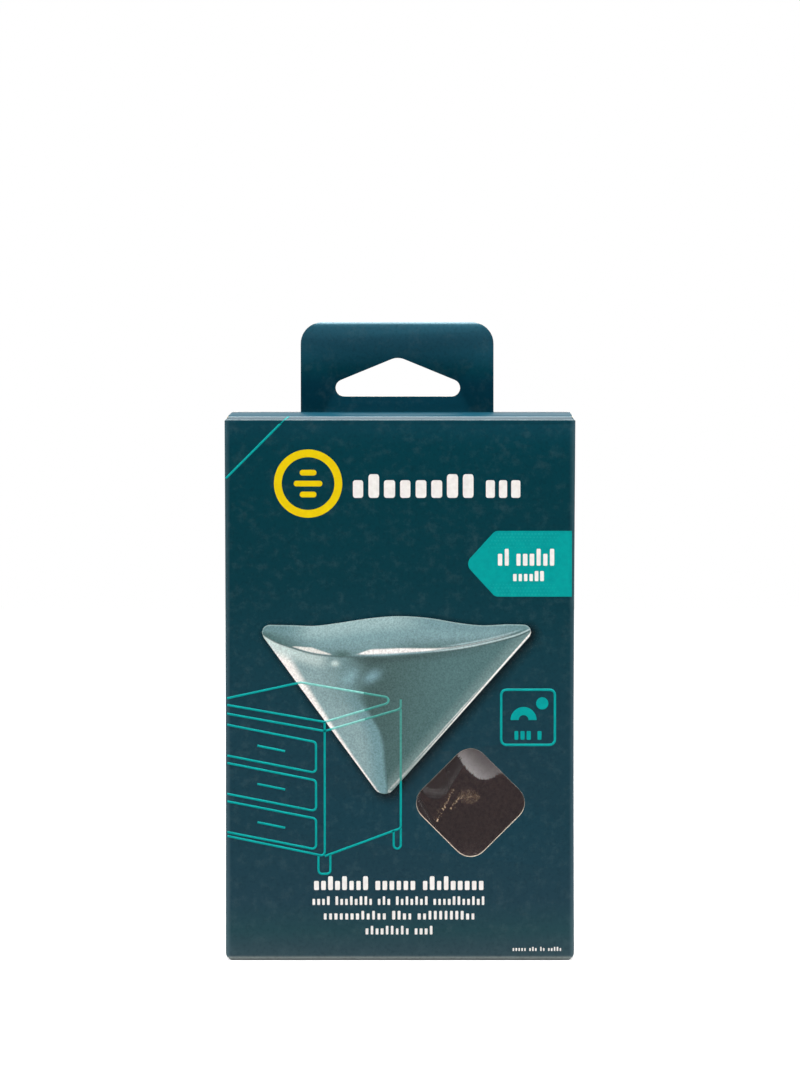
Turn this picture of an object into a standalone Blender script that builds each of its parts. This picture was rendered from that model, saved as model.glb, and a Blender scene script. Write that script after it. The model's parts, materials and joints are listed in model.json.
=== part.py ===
"""Windowed hang tab carton that holds four clear soft corner guards.

The carton is one sheet of card folded up from its panels, with a hang tab of two glued
plies and a tuck lid that turns about the crease at the top of the front panel. The
guards lie inside as two nested pairs. Units are metres, +Z is up, the front panel
faces -Y, and the origin is the middle of the base.
"""

import math

import bmesh
import bpy
from mathutils import Matrix, Vector

# Card
CARD = 0.0005                 # thickness of the board
CREASE_RADIUS = 0.0005        # radius of a fold at the middle of the board
CREASE_STEPS = 3
PLY_GAP = 0.0001              # glue line between two plies
FIT_GAP = 0.0003              # between pieces that touch

# Carton
CARTON_WIDTH = 0.088
CARTON_DEPTH = 0.040
CARTON_HEIGHT = 0.1375
GLUE_FLAP = 0.012
GLUE_FLAP_TAPER = 0.006
FLAP_INSET = 0.0008           # relief at each end of a flap's crease
BOTTOM_OUTER_SHORT = 0.0012   # the outer bottom flap stops this far from the back
BOTTOM_INNER_FLAP = 0.028
BOTTOM_FLAP_TAPER = 0.002
DUST_FLAP = 0.026
DUST_FLAP_TAPER = 0.003
DUST_FLAP_CORNER = 0.004

# Hang tab
TAB_WIDTH = 0.0494
TAB_HEIGHT = 0.0228           # above the carton's top
TAB_CORNER = 0.005
TAB_OFFSET = -0.0010          # the tab sits a little left of the middle
TAB_LAP = 0.010               # the front ply's length below the carton's top

# Hang hole, a triangle with rounded ends
HOLE_WIDTH = 0.0321
HOLE_HEIGHT = 0.0100
HOLE_END_RADIUS = 0.0019
HOLE_PEAK_RADIUS = 0.0046
HOLE_BELOW_TOP = 0.0088       # from the tab's top to the hole's peak
HOLE_OFFSET = -0.0007

# Window, a square set on its corner
WINDOW_SIDE = 0.0220
WINDOW_CORNER = 0.0046
WINDOW_X = 0.0179
WINDOW_Z = 0.0398
FILM_SIDE = 0.036
FILM_CORNER = 0.003
FILM_THICKNESS = 0.0002

# Tuck lid
LID_INSET = 0.0004            # each side of the lid lies inside the carton's sides
LID_SHOULDER = 0.0012         # rounding of the lid's two back corners
TUCK_DEPTH = 0.012
TUCK_CORNER = 0.006
TUCK_SLOT = 0.0032            # room behind the dust flaps for the tuck flap

# Corner guards
GUARD_LEG = 0.052             # from the corner to each of the three tips, before rounding
GUARD_WALL = 0.0025
GUARD_NOSE_RADIUS = 0.0050
GUARD_RIM_CHAMFER = 0.0006
GUARD_ARC_STEPS = 5
GUARD_NOSE_STEPS = 3
PAD_THICKNESS = 0.0008
PAD_INRADIUS = 0.0062
PAD_CORNER = 0.0025
PAD_FROM_NOSE = 0.020         # along the face, from the sharp inner corner
PAD_ARC_STEPS = 3

# Rounded outlines
CORNER_STEPS = 5

# A trihedral corner: its three square faces lean this far from the axis between them
FACE_LEAN = math.atan(math.sqrt(0.5))
CORNER_AXIS_SCALE = math.sqrt(3.0)


def rgb(hex_colour):
    """Give the linear colour of a hex sRGB value."""
    channels = [int(hex_colour[i:i + 2], 16) / 255 for i in (1, 3, 5)]
    return [c / 12.92 if c <= 0.04045 else ((c + 0.055) / 1.055) ** 2.4 for c in channels]


def make_material(name, hex_colour, roughness, metallic=0.0, alpha=1.0):
    """Make a Principled material."""
    material = bpy.data.materials.new(name)
    material.use_nodes = True
    shader = material.node_tree.nodes["Principled BSDF"]
    shader.inputs["Base Color"].default_value = (*rgb(hex_colour), 1.0)
    shader.inputs["Roughness"].default_value = roughness
    shader.inputs["Metallic"].default_value = metallic
    shader.inputs["Alpha"].default_value = alpha
    return material


def arc(centre, radius, start, end, steps):
    """Give the points of an arc, both ends included; angles are in degrees."""
    angles = [math.radians(start + (end - start) * i / steps) for i in range(steps + 1)]
    return [(centre[0] + radius * math.cos(a), centre[1] + radius * math.sin(a)) for a in angles]


def rounded_polygon(inradius, corner, sides, turn, steps):
    """Give a regular polygon with rounded corners; a corner points at the angle turn."""
    reach = (inradius - corner) / math.cos(math.pi / sides)
    half = 180.0 / sides
    points = []
    for side in range(sides):
        heading = turn + 360.0 * side / sides
        centre = (reach * math.cos(math.radians(heading)), reach * math.sin(math.radians(heading)))
        points += arc(centre, corner, heading - half, heading + half, steps)
    return points


def make_object(name, mesh, material):
    """Link a mesh to the scene as a named object."""
    mesh.materials.append(material)
    obj = bpy.data.objects.new(name, mesh)
    bpy.context.collection.objects.link(obj)
    return obj


def prism_mesh(name, outline, frame, low, high):
    """Extrude an anticlockwise outline along its frame's normal, from low to high."""
    bm = bmesh.new()
    bottom = [bm.verts.new(frame @ Vector((u, v, low))) for u, v in outline]
    top = [bm.verts.new(frame @ Vector((u, v, high))) for u, v in outline]
    bm.faces.new(list(reversed(bottom)))
    bm.faces.new(top)
    for i in range(len(outline)):
        j = (i + 1) % len(outline)
        bm.faces.new([bottom[i], bottom[j], top[j], top[i]])
    mesh = bpy.data.meshes.new(name)
    bm.to_mesh(mesh)
    bm.free()
    return mesh


def facing_front(y):
    """Give a frame whose u is +X, v is +Z and normal is -Y, in the plane at y."""
    return Matrix(((1, 0, 0, 0), (0, 0, -1, y), (0, 1, 0, 0), (0, 0, 0, 1)))


class Panel:
    """A flat panel of the sheet: an anticlockwise outline seen from its printed side."""

    def __init__(self, frame, outline):
        self.frame = frame
        self.outline = [Vector(point) for point in outline]

    def mark(self, point):
        """Add a crease's end to the outline, unless a corner is there already."""
        point = Vector(point)
        if min((corner - point).length for corner in self.outline) < PLY_GAP / 10:
            return
        for i, start in enumerate(self.outline):
            run = self.outline[(i + 1) % len(self.outline)] - start
            along = (point - start).dot(run) / run.length_squared
            off = abs((point - start).cross(run)) / run.length
            if 0 < along < 1 and off < PLY_GAP / 10:
                self.outline.insert(i + 1, point)
                return
        raise ValueError(f"no edge of the panel passes through {tuple(point)}")


class Sheet:
    """Card modelled at its middle: flat panels joined by folds of small radius."""

    def __init__(self, frame, outline):
        self.root = Panel(frame, outline)
        self.panels = [self.root]
        self.bends = []

    def fold(self, parent, start, end, degrees=90.0, radius=CREASE_RADIUS, outline=None):
        """Fold away from the printed side along one edge of a panel.

        The edge runs anticlockwise from start to end. The child's outline is in the
        child's own plane: its crease lies on v = 0, centred on u = 0.
        """
        start, end = Vector(start), Vector(end)
        parent.mark(start)
        parent.mark(end)
        along = (end - start).normalized()
        u, v, middle = -along, Vector((along.y, -along.x)), (start + end) / 2
        base = parent.frame @ Matrix((
            (u.x, v.x, 0, middle.x), (u.y, v.y, 0, middle.y), (0, 0, 1, 0), (0, 0, 0, 1)))
        half = (end - start).length / 2
        rows = []
        for step in range(CREASE_STEPS + 1):
            angle = math.radians(degrees * step / CREASE_STEPS)
            out, down = radius * math.sin(angle), radius * (math.cos(angle) - 1)
            rows.append([base @ Vector((side, out, down)) for side in (-half, half)])
        self.bends.append(rows)
        if outline is None:
            return None
        turn = math.radians(degrees)
        shift = Matrix.Translation((0, radius * math.sin(turn), radius * (math.cos(turn) - 1)))
        child = Panel(base @ shift @ Matrix.Rotation(-turn, 4, "X"), outline)
        self.panels.append(child)
        return child

    def mesh(self, name):
        """Make the middle surface as one mesh."""
        bm = bmesh.new()
        for panel in self.panels:
            bm.faces.new([bm.verts.new(panel.frame @ p.to_3d()) for p in panel.outline])
        for rows in self.bends:
            for near, far in zip(rows, rows[1:]):
                bm.faces.new([bm.verts.new(p) for p in (near[0], near[1], far[1], far[0])])
        bmesh.ops.remove_doubles(bm, verts=bm.verts, dist=PLY_GAP / 10)
        bmesh.ops.recalc_face_normals(bm, faces=bm.faces)
        mesh = bpy.data.meshes.new(name)
        bm.to_mesh(mesh)
        bm.free()
        return mesh


def thicken(obj):
    """Give a sheet the thickness of the board, half on each side of its middle."""
    solidify = obj.modifiers.new("Board", "SOLIDIFY")
    solidify.thickness = CARD
    solidify.offset = 0.0
    solidify.use_even_offset = True


def cut(obj, name, outline, y_low, y_high):
    """Cut an outline, drawn as seen from the front, through a wall between two depths."""
    cutter = make_object(name, prism_mesh(name, outline, facing_front(0), -y_high, -y_low),
                         obj.data.materials[0])
    cutter.hide_render = True
    cutter.display_type = "WIRE"
    boolean = obj.modifiers.new(name, "BOOLEAN")
    boolean.operation = "DIFFERENCE"
    boolean.solver = "EXACT"
    boolean.object = cutter


def flap_outline(crease, length, taper, corner):
    """Give a flap that narrows by taper at each side and has rounded free corners."""
    half = crease / 2
    lean = math.degrees(math.atan2(taper, length))
    inner = math.tan(math.radians(90 - lean) / 2) * corner
    right = (half - taper - inner, length - corner)
    outline = [(-half, 0), (half, 0)]
    outline += arc(right, corner, lean, 90, CORNER_STEPS)
    outline += arc((-right[0], right[1]), corner, 90, 180 - lean, CORNER_STEPS)
    return outline


def back_outline(middle_z, crease_height, low, width, tab_middle):
    """Give the back panel with its tab; u is up from the crease's middle, v across."""
    top = CARTON_HEIGHT - middle_z
    tab_top = CARTON_HEIGHT + TAB_HEIGHT - (CARD + (CARD + PLY_GAP)) / 2 - middle_z
    left, right = tab_middle - TAB_WIDTH / 2, tab_middle + TAB_WIDTH / 2
    outline = [(low - middle_z, 0), (-crease_height / 2, 0), (crease_height / 2, 0), (top, 0), (top, left)]
    outline += arc((tab_top - TAB_CORNER, left + TAB_CORNER), TAB_CORNER, -90, 0, CORNER_STEPS)
    outline += arc((tab_top - TAB_CORNER, right - TAB_CORNER), TAB_CORNER, 0, 90, CORNER_STEPS)
    outline += [(top, right), (top, width), (low - middle_z, width)]
    return outline, tab_top


def tab_ply_outline():
    """Give the tab's front ply, which hangs down from the fold at the tab's top."""
    half = TAB_WIDTH / 2 - TAB_CORNER
    length = TAB_HEIGHT + TAB_LAP - CARD / 2
    outline = arc((half, TAB_CORNER), TAB_CORNER, -90, 0, CORNER_STEPS)
    outline += [(TAB_WIDTH / 2, length), (-TAB_WIDTH / 2, length)]
    outline += arc((-half, TAB_CORNER), TAB_CORNER, 180, 270, CORNER_STEPS)
    return outline


def hole_outline():
    """Give the hang hole: the hull of two small end circles and a larger peak circle."""
    bottom = CARTON_HEIGHT + TAB_HEIGHT - HOLE_BELOW_TOP - HOLE_HEIGHT
    end = Vector((HOLE_WIDTH / 2 - HOLE_END_RADIUS, bottom + HOLE_END_RADIUS))
    peak = Vector((0, bottom + HOLE_HEIGHT - HOLE_PEAK_RADIUS))
    run = peak - end
    heading = math.degrees(math.atan2(run.y, run.x))
    side = heading - math.degrees(math.acos((HOLE_END_RADIUS - HOLE_PEAK_RADIUS) / run.length))
    outline = arc(end, HOLE_END_RADIUS, -90, side, CORNER_STEPS)
    outline += arc(peak, HOLE_PEAK_RADIUS, side, 180 - side, CORNER_STEPS + 1)
    outline += arc((-end.x, end.y), HOLE_END_RADIUS, 180 - side, 270, CORNER_STEPS)
    return [(x + HOLE_OFFSET, z) for x, z in outline]


def window_outline():
    """Give the window: a rounded square set on its corner."""
    square = rounded_polygon(WINDOW_SIDE / 2, WINDOW_CORNER, 4, 0, CORNER_STEPS)
    return [(x + WINDOW_X, z + WINDOW_Z) for x, z in square]


def lid_axis():
    """Give the point on the lid's crease that it turns about."""
    return Vector((0, -CARTON_DEPTH / 2 - FIT_GAP / 2,
                   CARTON_HEIGHT - CARD / 2 - CREASE_RADIUS - FIT_GAP / 2))


def make_carton(material):
    """Fold the carton: front, sides, back with its hang tab, base and dust flaps."""
    step = CARD + PLY_GAP
    dust_low = CARD / 2 + 2 * step + CREASE_RADIUS
    dust_high = CARTON_HEIGHT - CARD - FIT_GAP - CARD / 2 - CREASE_RADIUS
    crease_height = dust_high - dust_low
    front_low = CARD / 2 + CREASE_RADIUS
    front_high = CARTON_HEIGHT - CARD / 2 - CREASE_RADIUS - FIT_GAP
    front_width = CARTON_WIDTH - CARD - 2 * CREASE_RADIUS
    side_depth = CARTON_DEPTH - CARD - 2 * CREASE_RADIUS
    half = front_width / 2

    sheet = Sheet(facing_front(-CARTON_DEPTH / 2 + CARD / 2),
                  [(-half, front_low), (half, front_low), (half, front_high), (-half, front_high)])
    front = sheet.root
    left = sheet.fold(front, (-half, dust_high), (-half, dust_low), outline=[
        (-crease_height / 2, 0), (crease_height / 2, 0),
        (crease_height / 2, side_depth), (-crease_height / 2, side_depth)])
    right_depth = side_depth + CREASE_RADIUS
    right = sheet.fold(front, (half, dust_low), (half, dust_high), outline=[
        (-crease_height / 2, 0), (crease_height / 2, 0),
        (crease_height / 2, right_depth), (-crease_height / 2, right_depth)])

    middle_z = (dust_low + dust_high) / 2
    back_low = CARD / 2 + step + CREASE_RADIUS
    back_width = front_width - step
    tab_middle = half + TAB_OFFSET
    outline, tab_top = back_outline(middle_z, crease_height, back_low, back_width, tab_middle)
    back = sheet.fold(left, (crease_height / 2, side_depth), (-crease_height / 2, side_depth),
                      outline=outline)
    crease = TAB_WIDTH / 2 - TAB_CORNER
    sheet.fold(back, (tab_top, tab_middle - crease), (tab_top, tab_middle + crease),
               degrees=180, radius=step / 2, outline=tab_ply_outline())
    sheet.fold(back, (crease_height / 2, back_width), (-crease_height / 2, back_width),
               outline=flap_outline(crease_height, GLUE_FLAP, GLUE_FLAP_TAPER, CREASE_RADIUS))

    bottom_crease = front_width - 2 * FLAP_INSET
    outer_length = CARTON_DEPTH - CARD / 2 - CREASE_RADIUS - BOTTOM_OUTER_SHORT
    sheet.fold(front, (-bottom_crease / 2, front_low), (bottom_crease / 2, front_low),
               outline=flap_outline(bottom_crease, outer_length, CREASE_RADIUS, CREASE_RADIUS))
    sheet.fold(back, (back_low - middle_z, back_width - FLAP_INSET), (back_low - middle_z, FLAP_INSET),
               outline=flap_outline(back_width - 2 * FLAP_INSET, BOTTOM_INNER_FLAP,
                                    BOTTOM_FLAP_TAPER, DUST_FLAP_CORNER))

    dust = side_depth - FLAP_INSET
    top_dust = flap_outline(dust - TUCK_SLOT, DUST_FLAP, DUST_FLAP_TAPER, DUST_FLAP_CORNER)
    low_dust = flap_outline(dust - FLAP_INSET, DUST_FLAP, DUST_FLAP_TAPER, DUST_FLAP_CORNER)
    end = crease_height / 2
    sheet.fold(left, (end, FLAP_INSET), (end, side_depth - TUCK_SLOT), outline=top_dust)
    sheet.fold(left, (-end, side_depth - FLAP_INSET), (-end, FLAP_INSET), outline=low_dust)
    sheet.fold(right, (-end, side_depth - TUCK_SLOT), (-end, FLAP_INSET), outline=top_dust)
    sheet.fold(right, (end, FLAP_INSET), (end, side_depth - FLAP_INSET), outline=low_dust)

    carton = make_object("carton", sheet.mesh("carton"), material)
    thicken(carton)
    wall = 2 * CARD
    cut(carton, "window_cutter", window_outline(), -CARTON_DEPTH / 2 - wall, -CARTON_DEPTH / 2 + wall)
    cut(carton, "hang_hole_cutter", hole_outline(), CARTON_DEPTH / 2 - 2 * wall,
        CARTON_DEPTH / 2 + wall)
    return carton


def make_lid(material):
    """Fold the tuck lid: its panel, the bend at the front crease and the tuck flap."""
    axis = lid_axis()
    front = -CARTON_DEPTH / 2 + CARD / 2 + CREASE_RADIUS
    tab_front = CARTON_DEPTH / 2 - CARD - (CARD + PLY_GAP)
    reach = tab_front - FIT_GAP
    back = reach - CARD / 2 - CREASE_RADIUS
    swing = reach - axis.y
    # The flap leans so that its free edge, too, swings inside the back panel.
    lean = math.degrees(math.asin(TUCK_DEPTH / swing)) / 2
    half = CARTON_WIDTH / 2 - LID_INSET
    tuck = half - LID_SHOULDER
    outline = [(-half, front), (half, front)]
    outline += arc((tuck, back - LID_SHOULDER), LID_SHOULDER, 0, 90, CORNER_STEPS)
    outline += arc((-tuck, back - LID_SHOULDER), LID_SHOULDER, 90, 180, CORNER_STEPS)
    sheet = Sheet(Matrix.Translation((0, 0, CARTON_HEIGHT - CARD / 2)), outline)
    sheet.fold(sheet.root, (-half, front), (half, front))
    length = TUCK_DEPTH - CARD / 2 - CREASE_RADIUS
    sheet.fold(sheet.root, (tuck, back), (-tuck, back), degrees=90 + lean,
               outline=flap_outline(2 * tuck, length, CREASE_RADIUS, TUCK_CORNER))
    mesh = sheet.mesh("lid")
    mesh.transform(Matrix.Translation(-axis))
    lid = make_object("lid", mesh, material)
    lid.location = axis
    thicken(lid)
    return lid


def make_film(material):
    """Make the clear film that is glued behind the window."""
    wall = -CARTON_DEPTH / 2 + CARD + FIT_GAP
    square = rounded_polygon(FILM_SIDE / 2, FILM_CORNER, 4, 45, CORNER_STEPS)
    outline = [(x + WINDOW_X, z + WINDOW_Z) for x, z in square]
    mesh = prism_mesh("window_film", outline, facing_front(wall), -FILM_THICKNESS, 0)
    return make_object("window_film", mesh, material)


def corner_rings(sharp_height, nose_radius, rim_z):
    """Give rings down a rounded trihedral corner, from its nose to a level rim.

    The first item is the nose's tip; each later one is a ring of points. Rings are
    rounded triangles across the corner's axis, +Z, with one tip along +Y.
    """
    centre = sharp_height - nose_radius / math.sin(FACE_LEAN)
    nose_turn = math.pi / 2 - FACE_LEAN
    corner = nose_radius * math.sin(nose_turn)
    rings = [Vector((0, 0, centre + nose_radius))]
    sections = []
    for i in range(1, GUARD_NOSE_STEPS + 1):
        angle = nose_turn * i / GUARD_NOSE_STEPS
        sections.append((nose_radius * math.sin(angle), centre + nose_radius * math.cos(angle)))
    sections.append(((sharp_height - rim_z) * math.tan(FACE_LEAN), rim_z))
    for inradius, z in sections:
        ring = rounded_polygon(inradius, min(corner, inradius), 3, 90, GUARD_ARC_STEPS)
        rings.append([Vector((x, y, z)) for x, y in ring])
    return rings


def guard_mesh():
    """Make a guard: a soft shell of three square faces; its rim is at z = 0."""
    height = GUARD_LEG / CORNER_AXIS_SCALE
    inner_height = height - GUARD_WALL * CORNER_AXIS_SCALE
    outer = corner_rings(height, GUARD_NOSE_RADIUS, GUARD_RIM_CHAMFER)
    inner = corner_rings(inner_height, GUARD_NOSE_RADIUS - GUARD_WALL, GUARD_RIM_CHAMFER)
    corner = GUARD_NOSE_RADIUS * math.cos(FACE_LEAN)
    inner_corner = (GUARD_NOSE_RADIUS - GUARD_WALL) * math.cos(FACE_LEAN)
    rim = []
    for full, sign, radius in ((height, -1, corner), (inner_height, 1, inner_corner)):
        inradius = full * math.tan(FACE_LEAN) + sign * GUARD_RIM_CHAMFER
        ring = rounded_polygon(inradius, radius + sign * GUARD_RIM_CHAMFER / 2, 3, 90, GUARD_ARC_STEPS)
        rim.append([Vector((x, y, 0)) for x, y in ring])
    rings = outer[1:] + rim + list(reversed(inner[1:]))

    bm = bmesh.new()
    rows = [[bm.verts.new(point) for point in ring] for ring in rings]
    for near, far in zip(rows, rows[1:]):
        for i in range(len(near)):
            j = (i + 1) % len(near)
            bm.faces.new([near[i], far[i], far[j], near[j]])
    for tip, row in ((bm.verts.new(outer[0]), rows[0]), (bm.verts.new(inner[0]), rows[-1])):
        for i in range(len(row)):
            bm.faces.new([tip, row[i], row[(i + 1) % len(row)]])
    bmesh.ops.recalc_face_normals(bm, faces=bm.faces)
    mesh = bpy.data.meshes.new("corner_guard")
    bm.to_mesh(mesh)
    bm.free()
    mesh.shade_smooth()
    mesh.set_sharp_from_angle(angle=math.radians(30))
    return mesh


def pad_mesh(face):
    """Make the adhesive pad that lies on one of a guard's three inner faces."""
    heading = math.radians(-90 + 120 * face)
    inner_height = GUARD_LEG / CORNER_AXIS_SCALE - GUARD_WALL * CORNER_AXIS_SCALE
    sideways = Vector((math.cos(heading), math.sin(heading), 0))
    down = sideways * math.sin(FACE_LEAN) - Vector((0, 0, math.cos(FACE_LEAN)))
    normal = sideways * math.cos(FACE_LEAN) + Vector((0, 0, math.sin(FACE_LEAN)))
    across = (-down).cross(normal)
    origin = Vector((0, 0, inner_height)) + down * PAD_FROM_NOSE
    frame = Matrix((across, -down, normal)).transposed().to_4x4()
    frame.translation = origin
    outline = rounded_polygon(PAD_INRADIUS, PAD_CORNER, 3, 90, PAD_ARC_STEPS)
    return prism_mesh("pad", outline, frame, -FIT_GAP - PAD_THICKNESS, -FIT_GAP)


def make_guards(material, pad_material):
    """Lay two nested pairs of guards in the carton, rims to the front.

    The lower pair stands on a side at the left wall. The upper pair is turned over and
    wedged between the lower pair's slanted side and the right wall.
    """
    height = GUARD_LEG / CORNER_AXIS_SCALE
    inradius = height * math.tan(FACE_LEAN)
    corner = GUARD_NOSE_RADIUS * math.cos(FACE_LEAN)
    half_width = (inradius - corner) * CORNER_AXIS_SCALE + corner
    wall_x = CARTON_WIDTH / 2 - CARD - PLY_GAP - CARD - FIT_GAP
    x = wall_x - half_width
    floor_z = 3 * CARD + 2 * PLY_GAP + FIT_GAP
    low_z = floor_z + inradius
    slant = math.radians(30)
    high_z = low_z + (2 * inradius + FIT_GAP - 2 * x * math.cos(slant)) / math.sin(slant)
    rim_y = -CARTON_DEPTH / 2 + CARD + FIT_GAP + FILM_THICKNESS + FIT_GAP
    pitch = (GUARD_WALL + 2 * FIT_GAP + PAD_THICKNESS) * CORNER_AXIS_SCALE

    guards = []
    for pair, (centre_x, centre_z, turn) in enumerate(((-x, low_z, 180), (x, high_z, 0))):
        for row in range(2):
            number = 2 * pair + row + 1
            guard = make_object(f"corner_guard_{number}", guard_mesh(), material)
            guard.location = (centre_x, rim_y + pitch * row, centre_z)
            guard.rotation_euler = (math.radians(-90), math.radians(turn), 0)
            for face in range(3):
                pad = make_object(f"guard_{number}_pad_{face + 1}", pad_mesh(face), pad_material)
                pad.parent = guard
            guards.append(guard)
    return guards


def main():
    """Clear the scene and build the carton with what it holds."""
    for obj in list(bpy.data.objects):
        bpy.data.objects.remove(obj, do_unlink=True)
    card = make_material("printed card", "#103A46", 0.45)
    lid_card = make_material("printed lid card", "#12404D", 0.45)
    film = make_material("clear film", "#DDE4E4", 0.05, alpha=0.25)
    vinyl = make_material("clear soft vinyl", "#C9D6D4", 0.15, alpha=0.4)
    adhesive = make_material("adhesive pad", "#D9C79A", 0.5, alpha=0.8)
    make_carton(card)
    make_lid(lid_card)
    make_film(film)
    make_guards(vinyl, adhesive)


main()
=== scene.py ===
"""Looks of a windowed hang tab carton with its tuck lid and four clear soft corner guards.

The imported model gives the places. Lengths in this script are millimetres, and a mesh is
turned to metres when it is finished. +Z is up and the printed front panel faces -Y.
"""

import json
import logging
import math
from dataclasses import dataclass, field
from enum import Enum
from typing import Callable, Iterable, Optional, Union

import bmesh
import bpy
from mathutils import Matrix, Vector, noise


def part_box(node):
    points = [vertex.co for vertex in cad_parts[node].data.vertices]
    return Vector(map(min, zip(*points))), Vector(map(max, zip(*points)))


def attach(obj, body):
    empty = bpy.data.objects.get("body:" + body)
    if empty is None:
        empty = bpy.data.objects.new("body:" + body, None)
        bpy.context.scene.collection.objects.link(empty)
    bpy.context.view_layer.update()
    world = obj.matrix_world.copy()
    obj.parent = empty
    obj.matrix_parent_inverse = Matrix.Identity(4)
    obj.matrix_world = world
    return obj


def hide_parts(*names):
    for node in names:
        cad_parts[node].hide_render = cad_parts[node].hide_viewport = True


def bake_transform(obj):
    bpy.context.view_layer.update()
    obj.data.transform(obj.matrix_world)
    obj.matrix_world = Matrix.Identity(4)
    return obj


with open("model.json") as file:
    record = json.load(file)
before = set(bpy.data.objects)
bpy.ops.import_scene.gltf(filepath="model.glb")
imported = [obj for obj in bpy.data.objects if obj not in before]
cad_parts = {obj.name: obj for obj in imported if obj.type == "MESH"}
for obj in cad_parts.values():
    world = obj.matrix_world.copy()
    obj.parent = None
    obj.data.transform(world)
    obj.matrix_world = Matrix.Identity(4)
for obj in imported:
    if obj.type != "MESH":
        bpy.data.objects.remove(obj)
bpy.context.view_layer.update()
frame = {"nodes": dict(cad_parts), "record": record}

LOG = logging.getLogger("carton")
MM = 0.001
INK_STEP = 0.02
CORNER_LEAN = math.atan(math.sqrt(0.5))
Material = bpy.types.Material
Object = bpy.types.Object
Tree = bpy.types.NodeTree
Socket = bpy.types.NodeSocket
Mesh = bmesh.types.BMesh
Vert = bmesh.types.BMVert
Point = tuple[float, float]
Value = Union[float, int, str, tuple, Socket]


class Body(Enum):
    """The bodies that pieces ride on."""

    CARTON = "carton"
    LID = "lid"


class Slot(Enum):
    """The record's material slots."""

    CARD = "printed_card"
    FILM = "clear_film"
    VINYL = "clear_vinyl"
    PAD = "adhesive_pad"


def linear(hex_colour: str) -> tuple[float, float, float, float]:
    """Turn a hex sRGB colour into linear RGBA.

    Args:
        hex_colour: A colour such as "#103A46".

    Returns:
        The linear red, green, blue and an alpha of 1.
    """
    parts = [int(hex_colour[i:i + 2], 16) / 255 for i in (1, 3, 5)]
    red, green, blue = (c / 12.92 if c <= 0.04045 else ((c + 0.055) / 1.055) ** 2.4 for c in parts)
    return red, green, blue, 1.0


def tone_of(hex_colour: str) -> Vector:
    """Give a hex sRGB colour as a linear vector without its alpha."""
    return Vector(linear(hex_colour)[:3])


def toward(tone: Vector, hex_colour: str, share: float) -> Vector:
    """Blend a linear tone towards a hex sRGB colour."""
    return tone.lerp(tone_of(hex_colour), share)


def add_node(tree: Tree, kind: str, inputs: Optional[dict[Union[str, int], Value]] = None,
             **settings: Value) -> bpy.types.Node:
    """Add a node with its settings, values and links.

    Args:
        tree: The tree that the node goes into.
        kind: Blender's name for the node's type.
        inputs: A value, or a socket to link from, for each input by name or number.
        settings: The node's own properties.

    Returns:
        The new node.
    """
    node = tree.nodes.new(kind)
    for name, value in settings.items():
        setattr(node, name, value)
    for key, value in (inputs or {}).items():
        if isinstance(value, Socket):
            tree.links.new(value, node.inputs[key])
        else:
            node.inputs[key].default_value = value
    return node


def per_mm(size: float) -> float:
    """Give the scale of a noise on metres whose features are about this many millimetres."""
    return 1.0 / (size * MM)


def new_material(name: str) -> tuple[Material, Tree, Socket]:
    """Start a material.

    Args:
        name: The material's name.

    Returns:
        The material, its empty tree and the socket of its object coordinates.
    """
    material = bpy.data.materials.new(name)
    material.use_nodes = True
    tree = material.node_tree
    tree.nodes.clear()
    where = add_node(tree, "ShaderNodeTexCoord").outputs["Object"]
    return material, tree, where


def finish_material(tree: Tree, inputs: dict[Union[str, int], Value]) -> None:
    """Join a Principled shader with these inputs to the material's output."""
    shader = add_node(tree, "ShaderNodeBsdfPrincipled", inputs)
    add_node(tree, "ShaderNodeOutputMaterial", {"Surface": shader.outputs["BSDF"]})


def colour_ramp(tree: Tree, factor: Socket, stops: Iterable[tuple[float, str]]) -> Socket:
    """Add a colour ramp.

    Args:
        tree: The material's tree.
        factor: The socket that drives the ramp.
        stops: Each stop's place from 0 to 1 and its hex colour.

    Returns:
        The ramp's colour socket.
    """
    ramp = add_node(tree, "ShaderNodeValToRGB", {"Fac": factor})
    elements = ramp.color_ramp.elements
    for index, (place, hex_colour) in enumerate(stops):
        element = elements[index] if index < 2 else elements.new(place)
        element.position = place
        element.color = linear(hex_colour)
    return ramp.outputs["Color"]


def mix_colour(tree: Tree, factor: Value, first: Value, second: Value) -> Socket:
    """Mix two colours and give the socket of the result."""
    return add_node(tree, "ShaderNodeMix", {0: factor, 6: first, 7: second}, data_type="RGBA").outputs[2]


def fine_noise(tree: Tree, where: Socket, size: float, detail: float = 2.0,
               roughness: float = 0.5) -> Socket:
    """Add a noise whose features are about this many millimetres and give its value."""
    return add_node(tree, "ShaderNodeTexNoise", {
        "Vector": where, "Scale": per_mm(size), "Detail": detail, "Roughness": roughness}).outputs[0]


def remap(tree: Tree, value: Socket, given: tuple[float, float], wanted: tuple[float, float]) -> Socket:
    """Map one range of values to another, clamped at its ends, and give the result."""
    return add_node(tree, "ShaderNodeMapRange", {
        "Value": value, "From Min": given[0], "From Max": given[1],
        "To Min": wanted[0], "To Max": wanted[1]}).outputs[0]


def multiply(tree: Tree, first: Value, second: Value, **settings: Value) -> Socket:
    """Multiply two values and give the socket of the product."""
    node = add_node(tree, "ShaderNodeMath", {0: first, 1: second}, operation="MULTIPLY", **settings)
    return node.outputs[0]


def relief(tree: Tree, height: Socket, strength: float, depth: float) -> Socket:
    """Add a bump of a depth in millimetres and give its normal."""
    return add_node(tree, "ShaderNodeBump", {
        "Strength": strength, "Distance": depth * MM, "Height": height}).outputs[0]


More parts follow.
